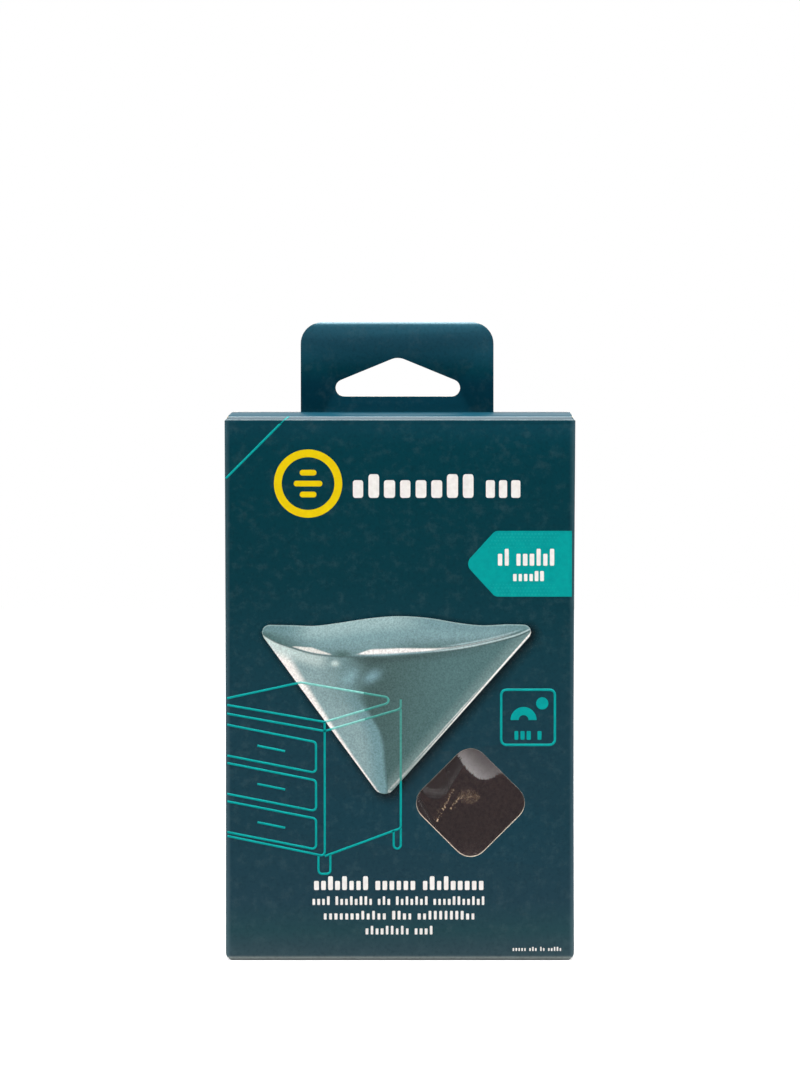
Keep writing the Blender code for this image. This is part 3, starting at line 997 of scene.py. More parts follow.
    def build(self, window: "Window") -> Object:
        """Build the board and put it in the carton node's place."""
        bm = self.sheet().surface(Vector((0, -1, 0)))
        self.waist(bm)
        obj = link_mesh("carton_board", bm, self.stock.materials())
        self.stock.thicken(obj)
        apply_modifiers(obj)
        half = self.depth / 2
        self.stock.cut(obj, "window_cut", window.outline(), -half - 1, -half + 1)
        self.stock.cut(obj, "hang_hole_cut", self.hole(), half - 2, half + 1)
        self.stock.soften(obj)
        return settle(obj, Body.CARTON, Slot.CARD, "carton")


@dataclass
class Lid:
    """The tuck lid, and the double-scored crease strip that joins it to the front panel."""

    stock: BoardStock
    carton: Carton
    inset: float = 0.4
    shoulder: float = 1.2
    tuck_depth: float = 12.0
    tuck_corner: float = 6.0
    facet: float = 1.12
    joint_back: float = 1.3
    end_narrow: float = 0.62
    narrow_depth: float = 0.65
    bend_low: float = 0.6
    bend_back: float = 0.3
    score_radius: float = 0.45
    proud: float = 0.03
    overlap: float = 0.35

    def axis(self) -> Vector:
        """Give the point on the crease that the lid turns about."""
        origin = frame["record"]["behaviour"]["joints"][0]["pos_m"]
        return Vector(origin) / MM

    def board_start(self) -> float:
        """Give the Y where the lid's own board begins, behind the crease strip."""
        return -self.carton.depth / 2 + self.facet * math.sin(math.radians(45)) + self.joint_back

    def strip_columns(self, z: float) -> list[tuple[float, float]]:
        """Give the strip's columns at a height: each one's X and how far it is turned back."""
        left, right = self.carton.spread[0], self.carton.spread[1] + self.carton.flare
        half = self.carton.width / 2
        narrow = self.end_narrow * smoothstep(self.carton.height - self.narrow_depth, self.carton.height, z)
        ends = (half + left - narrow, half + right - narrow)
        round_off = self.carton.crease + self.stock.card / 2
        angles = [math.radians(90 - 15 * k) for k in range(7)]
        columns = [(-(ends[0] - round_off * (1 - math.sin(a))), round_off * (1 - math.cos(a)))
                   for a in angles]
        columns += [(ends[1] - round_off * (1 - math.sin(a)), round_off * (1 - math.cos(a)))
                    for a in reversed(angles)]
        return columns

    def profile(self) -> list[Vector]:
        """Give the crease's outer line in Y and Z: front face, two 45 degree bends, lid face."""
        front, top = -self.carton.depth / 2 - self.proud, self.carton.height + self.proud
        drop = self.facet * math.sin(math.radians(45))
        foot = self.carton.height - self.carton.front_short - self.overlap
        corners = [(front, foot), (front, top - drop), (front + drop, top),
                   (self.board_start() + self.overlap, top)]
        line = [Vector(corners[0])]
        for i in (1, 2):
            here, back, ahead = (Vector(corners[k]) for k in (i, i - 1, i + 1))
            into, out = (back - here).normalized(), (ahead - here).normalized()
            reach = self.score_radius * math.tan(math.radians(22.5))
            for step in range(6):
                t = step / 5
                line.append(here + into * reach * (1 - t) ** 2 + out * reach * t ** 2)
        line.append(Vector(corners[3]))
        return line

    def crease_strip(self) -> Object:
        """Build the strip of board at the crease, between front and lid."""
        line = self.profile()
        bm = bmesh.new()
        shells: list[list[list[Vert]]] = [[], []]
        for i, point in enumerate(line):
            run = (line[min(i + 1, len(line) - 1)] - line[max(i - 1, 0)]).normalized()
            inward = Vector((run.y, -run.x))
            for shell, deep in zip(shells, (0.0, self.stock.card)):
                row = []
                for x, back in self.strip_columns(point.y):
                    p = point + inward * (back + deep)
                    row.append(bm.verts.new((x, p.x, p.y)))
                shell.append(row)
        # The bends of both scores get a pale ink as a painted highlight, and the facet between them a paler
        # ink as a painted sheen
        highlit_rows = (*range(2, 5), *range(8, 11))
        for index, shell in enumerate(shells):
            for i, (near, far) in enumerate(zip(shell, shell[1:])):
                printed = 3 if i in highlit_rows else 4 if 1 < i < 11 else 0
                for k in range(len(near) - 1):
                    face = bm.faces.new([near[k], near[k + 1], far[k + 1], far[k]])
                    face.material_index = 1 if index else printed
        outer, inner = shells
        for row, under in ((outer[0], inner[0]), (outer[-1], inner[-1])):
            for k in range(len(row) - 1):
                bm.faces.new([row[k], row[k + 1], under[k + 1], under[k]])
        for k in (0, -1):
            for i in range(len(line) - 1):
                bm.faces.new([outer[i][k], outer[i + 1][k], inner[i + 1][k], inner[i][k]])
        bmesh.ops.recalc_face_normals(bm, faces=bm.faces)
        return link_mesh("front_crease", bm, self.stock.materials() + [SCORE_HIGHLIGHT, FACET_SHEEN], 50)

    def crease_line(self, ink: Material, start_x: float, start_z: float, width: float) -> Object:
        """Carry the print's slanting line over the crease, as far as the lid's face.

        Args:
            ink: The line's ink.
            start_x: Where the line meets the strip's foot.
            start_z: The height of that point.
            width: The line's width across.

        Returns:
            The line's piece on the strip.
        """
        line = [Vector((-self.carton.depth / 2 - self.proud, start_z))] + self.profile()[1:]
        travelled = [0.0]
        for back, ahead in zip(line, line[1:]):
            travelled.append(travelled[-1] + (ahead - back).length)
        last = len(line) - 2
        bm = bmesh.new()
        rows = []
        reach = width / math.sqrt(2)
        for i in range(last + 1):
            back, ahead = line[max(i - 1, 0)], line[min(i + 1, last + 1)]
            run = (ahead - back).normalized()
            out = Vector((-run.y, run.x))
            row = []
            for lift, side in ((2, -reach), (2, reach), (-1, reach), (-1, -reach)):
                p = line[i] + out * (INK_STEP * lift)
                row.append(bm.verts.new((start_x + travelled[i] + side, p.x, p.y)))
            rows.append(row)
        join_rings(bm, rows)
        for row in (rows[0], rows[-1]):
            bm.faces.new(row)
        bmesh.ops.recalc_face_normals(bm, faces=bm.faces)
        return link_mesh("crease_line", bm, [ink])

    def bridge(self, obj: Object) -> None:
        """Bake a piece's place into its mesh and report it as lying between carton and lid."""
        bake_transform(obj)
        LOG.info("%s: %d faces between carton and lid", obj.name, len(obj.data.polygons))

    def build(self) -> Object:
        """Build the lid and put it in the lid node's place."""
        card, radius, depth = self.stock.card, self.carton.crease, self.carton.depth
        front = self.board_start()
        reach = depth / 2 - card - (card + self.carton.gap) - self.carton.fit
        back = reach - card / 2 - radius
        lean = math.degrees(math.asin(self.tuck_depth / (reach - self.axis().y))) / 2
        half = self.carton.width / 2 - self.inset
        tuck = half - self.shoulder
        outline: list[Point] = [(-half, front), (half, front)]
        outline += arc((tuck, back - self.shoulder), self.shoulder, 0, 90, 8)
        outline += arc((-tuck, back - self.shoulder), self.shoulder, 90, 180, 8)
        top = Panel(Matrix.Translation((0, 0, self.carton.height - card / 2)), outline)
        sheet = FoldedSheet(top, radius)
        length = self.tuck_depth - card / 2 - radius
        sheet.fold(top, (tuck, back), (-tuck, back),
                   flap_outline(2 * tuck, length, radius, self.tuck_corner), 90 + lean)
        obj = link_mesh("lid_board", sheet.surface(Vector((0, 0, 1))), self.stock.materials())
        self.stock.thicken(obj)
        apply_modifiers(obj)
        self.stock.soften(obj)
        return settle(obj, Body.LID, Slot.CARD, "lid")


@dataclass
class Window:
    """The window's opening, a rounded square set on its corner, and the film behind it."""

    x: float = 17.8
    z: float = 40.1
    side: float = 22.0
    corner: float = 4.6
    edge_band: tuple[float, float] = (0.015, 0.12)
    edge_lap: float = 0.01
    film_side: float = 36.0
    film_corner: float = 3.0
    film_rings: int = 12
    slack: float = 0.10

    def outline(self) -> list[Point]:
        """Give the opening's outline."""
        square = rounded_polygon(self.side / 2, self.corner, 4, 0, 9)
        return [(x + self.x, z + self.z) for x, z in square]

    def bare_edge_and_highlight(self, wall: float) -> Object:
        """Build the narrow line where the knife left the board bare, broader on the lower sides as a painted
        highlight where those edges catch the light.

        Args:
            wall: The front panel's Y.

        Returns:
            The line.
        """
        inner = self.outline()
        rings: list[list[Vert]] = []
        bm = bmesh.new()
        for lift in (INK_STEP, -INK_STEP):
            for outward in (False, True):
                ring = []
                for i, (x, z) in enumerate(inner):
                    away = Vector((x - self.x, z - self.z)).normalized()
                    ahead, back = inner[(i + 1) % len(inner)], inner[i - 1]
                    run = Vector((ahead[0] - back[0], ahead[1] - back[1])).normalized()
                    out = Vector((run.y, -run.x))
                    # The extra width on the lower sides is a painted highlight
                    width = self.edge_band[0] + self.edge_band[1] * smoothstep(0.1, -0.3, away.y)
                    reach = width if outward else -self.edge_lap
                    ring.append(bm.verts.new((x + out.x * reach, wall - lift, z + out.y * reach)))
                rings.append(ring)
        join_rings(bm, [rings[k] for k in (0, 1, 3, 2, 0)])
        bmesh.ops.recalc_face_normals(bm, faces=bm.faces)
        return settle(link_mesh("window_edge_and_highlight", bm, [RAW]))

    def build(self) -> Object:
        """Build the film: a thin slab, gently slack, in the film node's place."""
        low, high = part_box("window_film")
        wall, thick = low.y / MM, (high.y - low.y) / MM
        centre = ((low.x + high.x) / 2 / MM, (low.z + high.z) / 2 / MM)
        outline = rounded_polygon(self.film_side / 2, self.film_corner, 4, 45, 8)
        bm = bmesh.new()
        shells = []
        for face in range(2):
            shell = []
            for ring in range(1, self.film_rings + 1):
                share = ring / self.film_rings
                sag = self.slack * falling(0.0, 0.62, share)
                y = wall + sag * (1 - 0.4 * face) + thick * face
                shell.append([bm.verts.new((centre[0] + x * share, y, centre[1] + z * share))
                              for x, z in outline])
            shells.append(shell)
        rows = shells[0] + list(reversed(shells[1]))
        bm.faces.new(rows[0])
        bm.faces.new(list(reversed(rows[-1])))
        join_rings(bm, rows)
        bmesh.ops.recalc_face_normals(bm, faces=bm.faces)
        obj = link_mesh("clear_film", bm, [FILM], 40)
        return settle(obj, Body.CARTON, Slot.FILM, "window_film")


@dataclass
class SoftGuard:
    """A moulded corner guard: three soft faces at right angles with a rolled rim."""

    leg: float = 52.0
    wall: float = 2.5
    nose: float = 5.0
    rim_round: float = 0.9
    arc_steps: int = 14

    def section(self) -> list[Point]:
        """Give the wall's section as the inradius and height of each ring, outside to inside."""
        height = self.leg / math.sqrt(3.0)
        inner_height = height - self.wall * math.sqrt(3.0)
        rings: list[Point] = []
        for full, radius in ((height, self.nose), (inner_height, self.nose - self.wall)):
            centre = full - radius / math.sin(CORNER_LEAN)
            turn = math.pi / 2 - CORNER_LEAN
            half = [(radius * math.sin(turn * i / 6), centre + radius * math.cos(turn * i / 6))
                    for i in range(1, 7)]
            for share in (0.25, 0.5, 0.75, 1.0):
                rim = self.rim_round
                z = half[5][1] + (rim - half[5][1]) * share
                half.append(((full - z) * math.tan(CORNER_LEAN), z))
            rings += half if full == height else list(reversed(half))
            if full == height:
                outer, inner = half[-1][0], (inner_height - self.rim_round) * math.tan(CORNER_LEAN)
                middle, reach = (outer + inner) / 2, (outer - inner) / 2
                rings += [(middle + reach * math.cos(math.radians(a)),
                           self.rim_round * (1 - math.sin(math.radians(a)))) for a in (30, 60, 90, 120, 150)]
        return rings

    def build(self, number: int, material: Material) -> Object:
        """Build one guard where its CAD node lies.

        Args:
            number: The node's number.
            material: The guard's vinyl.

        Returns:
            The guard.
        """
        node = f"corner_guard_{number}"
        low, high = (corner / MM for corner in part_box(node))
        turn = 180.0 if number < 3 else 0.0
        inradius = self.leg / math.sqrt(3.0) * math.tan(CORNER_LEAN)
        base_z = low.z + inradius if number < 3 else high.z - inradius
        place = (Matrix.Translation(((low.x + high.x) / 2, low.y, base_z))
                 @ Matrix.Rotation(math.radians(turn), 4, "Y") @ Matrix.Rotation(math.radians(-90), 4, "X"))
        corner = self.nose * math.cos(CORNER_LEAN)
        bm = bmesh.new()
        rows = []
        for radius, z in self.section():
            rounding = min(corner, radius * 0.98)
            ring = rounded_polygon(radius, rounding, 3, 90, self.arc_steps)
            rows.append([bm.verts.new(place @ Vector((x, y, z))) for x, y in ring])
        join_rings(bm, rows)
        for row in (rows[0], rows[-1]):
            middle = sum((vert.co for vert in row), Vector()) / len(row)
            tip = bm.verts.new(middle)
            for i in range(len(row)):
                bm.faces.new([tip, row[i], row[(i + 1) % len(row)]])
        bmesh.ops.recalc_face_normals(bm, faces=bm.faces)
        obj = link_mesh(f"soft_guard_{number}", bm, [material], 60)
        return settle(obj, Body.CARTON, Slot.VINYL, node)


@dataclass
class GuardPicture:
    """The printed picture of a clear guard, drawn by rules: an upturned corner with a wavy rim."""

    left: Point = (-34.75, 83.15)
    right: Point = (33.06, 83.2)
    apex: Point = (-4.14, 40.53)
    apex_radius: float = 3.0
    tip_radius: float = 1.9
    columns: int = 230
    under_rows: int = 64
    over_rows: int = 46
    ridge: tuple[Point, ...] = ((43.0, -3.4), (50.5, -4.2), (54.3, -4.4), (58.1, -5.3), (61.9, -7.5),
                                (66.0, -10.3), (69.5, -11.3), (77.0, -12.0))
    spots: tuple[tuple[str, float, Point, Point, float], ...] = (
        ("#84A7AD", 0.85, (-12.6, 71.9), (1.9, 1.7), 0.5),
        ("#7CA0A8", 0.9, (-7.0, 72.0), (2.1, 1.5), 0.35),
        ("#C9DAD6", 1.0, (-16.4, 75.3), (0.9, 0.7), 0.0))

    def top(self) -> list[Point]:
        """Give the back rim, a wave between the two tips."""
        wave = [(-32.85, 85.05), (-27.2, 84.95), (-21.5, 84.8), (-15.3, 85.56), (-7.5, 86.72), (0.0, 87.25),
                (7.5, 86.75), (15.1, 85.48), (21.0, 84.92), (27.0, 85.18), (31.15, 85.1)]
        left = arc((self.left[0] + self.tip_radius, self.left[1]), self.tip_radius, 180, 96, 8)
        right = arc((self.right[0] - self.tip_radius, self.right[1]), self.tip_radius, 84, 0, 8)
        return left + smooth_curve(wave)[1:-1] + right

    def corners(self) -> tuple[Vector, Vector, Vector]:
        """Give the ends of the two slanting edges: left, point and right."""
        return (Vector((self.left[0] + 0.30, self.left[1] - 1.15)), Vector(self.apex),
                Vector((self.right[0] - 0.35, self.right[1] - 1.15)))

    def foot(self) -> list[Point]:
        """Give the two slanting edges and the rounded point between them."""
        left, apex, right = self.corners()
        corners = [(left.x, left.y, 0.0), (apex.x, apex.y, self.apex_radius), (right.x, right.y, 0.0)]
        return [self.left] + rounded_corners(corners, 10) + [self.right]

    def rim(self) -> list[Point]:
        """Give the front rim, which dips at the ridge."""
        return smooth_curve([(-34.7, 82.7), (-31.4, 80.7), (-27.2, 79.2), (-23.3, 78.0), (-19.8, 77.35),
                             (-14.0, 77.0), (-5.6, 77.0), (0.0, 77.3), (5.5, 77.65), (11.9, 78.3),
                             (18.3, 79.3), (24.8, 80.75), (29.6, 82.1), (32.8, 83.5)])

    def contains(self, x: float, z: float) -> bool:
        """Say whether a place on the panel is inside the picture."""
        if not self.left[0] < x < self.right[0]:
            return False
        return height_at(self.foot_line, x) < z < height_at(self.top_line, x)

    def __post_init__(self) -> None:
        """Work the picture's lines out once."""
        self.top_line = self.top()
        self.foot_line = self.foot()
        self.rim_line = self.rim()

    def upper_tone(self, x: float, z: float, rim: float) -> Vector:
        """Give the tone of the face seen over the front rim."""
        crest = height_at(self.top_line, x)
        over = z - rim
        share = over / max(crest - rim, 0.1)
        tone = toward(tone_of("#80A0A4"), "#74959A", smoothstep(0.3, 1.0, share))
        slope = smoothstep(-29, -21, x) * falling(-4, 9, x) * falling(1.2, 5.0, crest - z)
        tone = toward(tone, "#9CB8B9", slope * 0.95)
        dusk = falling(0.05, 0.60, share) * (0.35 + 0.42 * smoothstep(-5, 4, x))
        tone = toward(tone, "#48605F", dusk)
        dip = math.exp(-((x + 14.6) / 2.4) ** 2) * falling(0.7, 2.2, over)
        tone = toward(tone, "#4C6663", dip * 0.85)
        for tip, reach in ((-33.5, 13.0), (32.5, 10.0)):
            near = falling(0.0, reach, abs(x - tip))
            tone = toward(tone, "#3E524E", near * falling(0.1, 0.75, share) * 0.85)
            tone = toward(tone, "#567A7B", near * 0.5)
        tone = toward(tone, "#A9C2C0", falling(0.0, 0.42, crest - z) * 0.75)
        # The broad white gleam that runs along the rim from the dip to the right
        low = rim + 0.62 + 0.012 * max(x, 0)
        gleam = 1.25 * smoothstep(-11.8, -6.5, x) * (1 - 0.86 * smoothstep(-3.0, 14.0, x))
        gleam *= falling(24.0, 31.0, x)
        inside = plateau((low - 0.15, low + 0.1), (low + gleam - 0.1, low + gleam + 0.2), z)
        tone = toward(tone, "#F3EEEA", inside * min(gleam * 2, 1.0))
        band = plateau((0.15, 0.35), (0.55, 0.8), over) * smoothstep(-12, -4, x)
        pale = toward(tone_of("#8FB0B6"), "#C3D5D6", smoothstep(4.0, 15.0, x))
        tone = tone.lerp(pale, band * 0.75)
        line = plateau((1.15, 1.3), (1.45, 1.75), over) * smoothstep(9.0, 16.0, x)
        tone = toward(tone, "#A3BCC0", line * falling(28.0, 31.5, x) * 0.8)
        # The narrow leaf of light on the left of the dip
        leaf = 1 - abs((x + 22.2) / 5.2)
        if leaf > 0:
            low, width = rim + 0.25, 1.5 * leaf ** 0.6
            lit = plateau((low, low + 0.2), (low + width - 0.3, low + width), z)
            tone = toward(tone, "#E9E6DF", lit * 0.9)
        return tone

    def off_edge(self, x: float, z: float, corner: Vector) -> float:
        """Give how far a place is from the slanting edge between a corner and the point."""
        run = self.corners()[1] - corner
        normal = Vector((-run.y, run.x)).normalized()
        return abs((Vector((x, z)) - corner).dot(normal))

    def lower_tone(self, x: float, z: float, rim: float) -> Vector:
        """Give the tone of the two faces under the front rim."""
        ridge = height_at(list(self.ridge), z)
        soft = 0.7 + 5.0 * smoothstep(60.0, 76.0, z)
        side = smoothstep(ridge - soft * 0.6, ridge + soft, x)
        depth = rim - z
        left = toward(tone_of("#869FA1"), "#6E9095", smoothstep(ridge - 5.5, ridge - 1, x))
        right = toward(tone_of("#445957"), "#537273", smoothstep(-12, 16, x))
        right = toward(right, "#486463", smoothstep(0.0, 26.0, depth) * 0.4)
        upper = smoothstep(59.0, 72.0, z) * smoothstep(ridge - 11, ridge - 2, x)
        left = toward(left, "#6D8889", upper * 0.75)
        tone = left.lerp(right, side)
        for colour, weight, centre, reach, lean in self.spots:
            across = x - centre[0]
            up = z - centre[1] - lean * across
            tone = toward(tone, colour, math.exp(-(across / reach[0]) ** 2 - (up / reach[1]) ** 2) * weight)
        shade = falling(0.0, 2.6, depth) * smoothstep(-15, -9, x) * falling(4, 30, x)
        tone = toward(tone, "#3F504F", shade * 0.6)
        # The left edge's gleam is broad at the tip and thins towards the point
        corner, _, far_corner = self.corners()
        off = self.off_edge(x, z, corner)
        share = max(0.0, min(1.0, (self.left[1] - z) / (self.left[1] - self.apex[1])))
        broad = 2.6 * (1 - share) ** 1.9 + 0.30
        if x < 0:
            tone = toward(tone, "#F1ECE7", falling(broad * 0.55, broad * 1.5, off))
            under = falling(1.2, 4.2, depth) * falling(-21.5, -17.0, x)
            tone = toward(tone, "#C4D5D1", under * (0.7 + 0.25 * falling(-30, -24, x)))
        # The right edge has a bright line, split in two towards the point
        off = self.off_edge(x, z, far_corner)
        if x > -3.0:
            thick = 0.10 + 0.26 * smoothstep(52.0, 80.0, z)
            line = plateau((0.04, 0.16), (thick + 0.10, thick + 0.30), off)
            twin = plateau((0.55, 0.68), (0.78, 0.95), off) * falling(62, 74, z)
            line = max(line, 0.7 * twin)
            tone = toward(tone, "#EFEBE6", line * (0.72 + 0.28 * smoothstep(45, 62, z)))
            tone = toward(tone, "#9DB3B0", falling(0.6, 4.0, off) * 0.30 * (1 - line))
        return tone

    def tone(self, x: float, z: float) -> Vector:
        """Give the picture's linear colour at a place on the panel."""
        rim = height_at(self.rim_line, x)
        mix = smoothstep(rim - 0.18, rim + 0.18, z)
        tone = self.lower_tone(x, min(z, rim), rim).lerp(self.upper_tone(x, max(z, rim), rim), mix)
        return toward(tone, "#4B605F", falling(0.05, 0.30, abs(z - rim)) * 0.75)

    def build(self, wall: float) -> Object:
        """Build the picture as a thin printed slab on the front panel.

        Args:
            wall: The panel's Y.

        Returns:
            The picture.
        """
        bm = bmesh.new()
        layer = bm.verts.layers.float_color.new("tone")
        shells: list[list[list[Vert]]] = []
        for lift in (INK_STEP * 2, -INK_STEP):
            shell = []
            for column in range(self.columns + 1):
                bend = (1 - math.cos(math.pi * column / self.columns)) / 2
                even = column / self.columns
                x = self.left[0] + (self.right[0] - self.left[0]) * (0.75 * even + 0.25 * bend)
                low, high = height_at(self.foot_line, x), height_at(self.top_line, x)
                high = max(high, low + 0.04)
                rim = min(max(height_at(self.rim_line, x), low + 0.01), high - 0.01)
                heights = [low + (rim - low) * row / self.under_rows for row in range(self.under_rows)]
                heights += [rim + (high - rim) * row / self.over_rows for row in range(self.over_rows + 1)]
                line = []
                for z in heights:
                    vert = bm.verts.new((x, wall - lift, z))
                    vert[layer] = (*self.tone(x, z), 1.0)
                    line.append(vert)
                shell.append(line)
            shells.append(shell)
        close_slab(bm, *shells)
        return settle(link_mesh("guard_picture", bm, [PICTURE]))

    def shadow(self, wall: float) -> Object:
        """Build the picture's soft printed shadow, a ring that thins out to nothing."""
        outline = [Vector(p) for p in reversed(self.top_line)] + [Vector(p) for p in self.foot_line[1:-1]]
        count = len(outline)
        bm = bmesh.new()
        layer = bm.verts.layers.float.new("cover")
        away_from_light = Vector((0.75, -0.66))
        near_reach, far_reach, overlap, thinning = 0.9, 2.6, 0.4, 1.6
        steps = 7
        rings = []
        for step in range(steps + 1):
            share = step / steps
            ring = []
            for i, point in enumerate(outline):
                run = (outline[(i + 1) % count] - outline[i - 1]).normalized()
                out = Vector((run.y, -run.x))
                shaded = 0.5 + 0.5 * out.dot(away_from_light)
                reach = near_reach + far_reach * shaded
                place = point + out * reach * share - out * overlap * (1 - share)
                vert = bm.verts.new((place.x, wall - INK_STEP, place.y))
                vert[layer] = (0.32 + 0.60 * shaded) * (1 - share) ** thinning
                ring.append(vert)
            rings.append(ring)
        join_rings(bm, rings)
        for face in bm.faces:
            face.normal_update()
        flip = [face for face in bm.faces if face.normal.y > 0]
        bmesh.ops.reverse_faces(bm, faces=flip)
        return settle(link_mesh("picture_shadow", bm, [SHADOW]))


def ribbon_tree() -> Tree:
    """Make the tree that turns joined points into flat printed strokes with rounded turns."""
    tree, given = new_tree("printed_stroke", ("Width", "Thickness", "Turn", "Step"), seeded=False)
    curve = add_node(tree, "GeometryNodeMeshToCurve", {"Mesh": given["Geometry"]})
    fillet = add_node(tree, "GeometryNodeFilletCurve", {
        "Curve": curve.outputs[0], "Radius": given["Turn"], "Count": 5}, mode="POLY")
    fillet.inputs["Limit Radius"].default_value = True
    dense = add_node(tree, "GeometryNodeResampleCurve", {
        "Curve": fillet.outputs[0], "Length": given["Step"]}, mode="LENGTH")
    level = add_node(tree, "GeometryNodeSetCurveNormal", {"Curve": dense.outputs[0]}, mode="Z_UP")
    profile = add_node(tree, "GeometryNodeCurvePrimitiveQuadrilateral", {
        "Width": given["Width"], "Height": given["Thickness"]})
    swept = add_node(tree, "GeometryNodeCurveToMesh", {
        "Curve": level.outputs[0], "Profile Curve": profile.outputs[0], "Fill Caps": True})
    end_tree(tree, swept.outputs[0], given["Ink"])
    return tree


def block_tree() -> Tree:
    """Make the tree that sets a small rounded block on each point, some of them taller."""
    tree, given = new_tree("printed_blocks", (
        "Width", "Height", "Corner", "Thickness", "Tallest", "Narrowest"))
    block = add_node(tree, "GeometryNodeCurvePrimitiveQuadrilateral", {
        "Width": given["Width"], "Height": given["Height"]})
    lift = add_node(tree, "ShaderNodeCombineXYZ", {"Y": multiply(tree, given["Height"], 0.5)})
    sat = add_node(tree, "GeometryNodeTransform", {
        "Geometry": block.outputs[0], "Translation": lift.outputs[0]})
    soft = add_node(tree, "GeometryNodeFilletCurve", {
        "Curve": sat.outputs[0], "Radius": given["Corner"], "Count": 3}, mode="POLY")
    soft.inputs["Limit Radius"].default_value = True
    face = add_node(tree, "GeometryNodeFillCurve", {"Curve": soft.outputs[0]}, mode="NGONS")
    raised = add_node(tree, "GeometryNodeExtrudeMesh", {
        "Mesh": face.outputs[0], "Offset": (0.0, 0.0, 1.0), "Offset Scale": given["Thickness"],
        "Individual": False})
    under = add_node(tree, "GeometryNodeFlipFaces", {"Mesh": face.outputs[0]})
    both = add_node(tree, "GeometryNodeJoinGeometry")
    tree.links.new(raised.outputs[0], both.inputs[0])
    tree.links.new(under.outputs[0], both.inputs[0])
    closed = add_node(tree, "GeometryNodeMergeByDistance", {"Geometry": both.outputs[0], "Distance": 1e-7})
    rise = add_node(tree, "FunctionNodeRandomValue", {
        "Probability": 0.34, "Seed": given["Seed"]}, data_type="BOOLEAN")
    tall = add_node(tree, "GeometryNodeSwitch", {
        "Switch": rise.outputs[3], "False": 1.0, "True": given["Tallest"]}, input_type="FLOAT")
    wide = add_node(tree, "FunctionNodeRandomValue", {
        2: given["Narrowest"], 3: 1.0, "Seed": given["Seed"]}, data_type="FLOAT")
    scale = add_node(tree, "ShaderNodeCombineXYZ", {"X": wide.outputs[1], "Y": tall.outputs[0], "Z": 1.0})
    placed = add_node(tree, "GeometryNodeInstanceOnPoints", {
        "Points": given["Geometry"], "Instance": closed.outputs[0], "Scale": scale.outputs[0]})
    end_tree(tree, placed.outputs[0], given["Ink"])
    return tree


def flake_tree() -> Tree:
    """Make the tree that scatters tiny turned pale flakes, which are painted glints."""
    tree, given = new_tree("glint_flakes", ("Size",))
    flake = add_node(tree, "GeometryNodeMeshIcoSphere", {"Radius": given["Size"], "Subdivisions": 1})
    turn = add_node(tree, "FunctionNodeRandomValue", {
        "Min": (0.0, 0.0, 0.0), "Max": (6.28, 6.28, 6.28), "Seed": given["Seed"]},
        data_type="FLOAT_VECTOR")
    size = add_node(tree, "FunctionNodeRandomValue", {
        "Min": (0.35, 0.35, 0.12), "Max": (1.5, 1.0, 0.45), "Seed": given["Seed"]},
        data_type="FLOAT_VECTOR")
    placed = add_node(tree, "GeometryNodeInstanceOnPoints", {
        "Points": given["Geometry"], "Instance": flake.outputs[0],
        "Rotation": turn.outputs[0], "Scale": size.outputs[0]})
    end_tree(tree, placed.outputs[0], given["Ink"])
    return tree


@dataclass
class TextLine:
    """A line of plain blocks where a line of small type would be."""

    name: str
    left: float
    right: float
    base: float
    height: float
    counts: tuple[int, ...]
    seed: int
    tallest: float = 1.42
    gap: float = 0.30
    word_gap: float = 0.75
    corner: float = 0.22
    narrowest: float = 0.84

    def points(self) -> tuple[list[Point], float]:
        """Give each block's place and the pitch from block to block."""
        total = sum(self.counts) + self.word_gap * (len(self.counts) - 1)
        pitch = (self.right - self.left) / total
        places: list[Point] = []
        x = self.left
        for count in self.counts:
            places += [(x + pitch * (k + 0.5), self.base) for k in range(count)]
            x += pitch * (count + self.word_gap)
        return places, pitch

    def build(self, tree: Tree, ink: Material) -> Object:
        """Set the blocks along the line."""
        places, pitch = self.points()
        width = pitch * (1 - self.gap)
        return grow(self.name, places, [], tree, {
            "Width": width * MM, "Height": self.height * MM, "Corner": self.corner * width * MM,
            "Thickness": 2 * INK_STEP * MM, "Tallest": self.tallest, "Narrowest": self.narrowest,
            "Seed": self.seed, "Ink": ink})


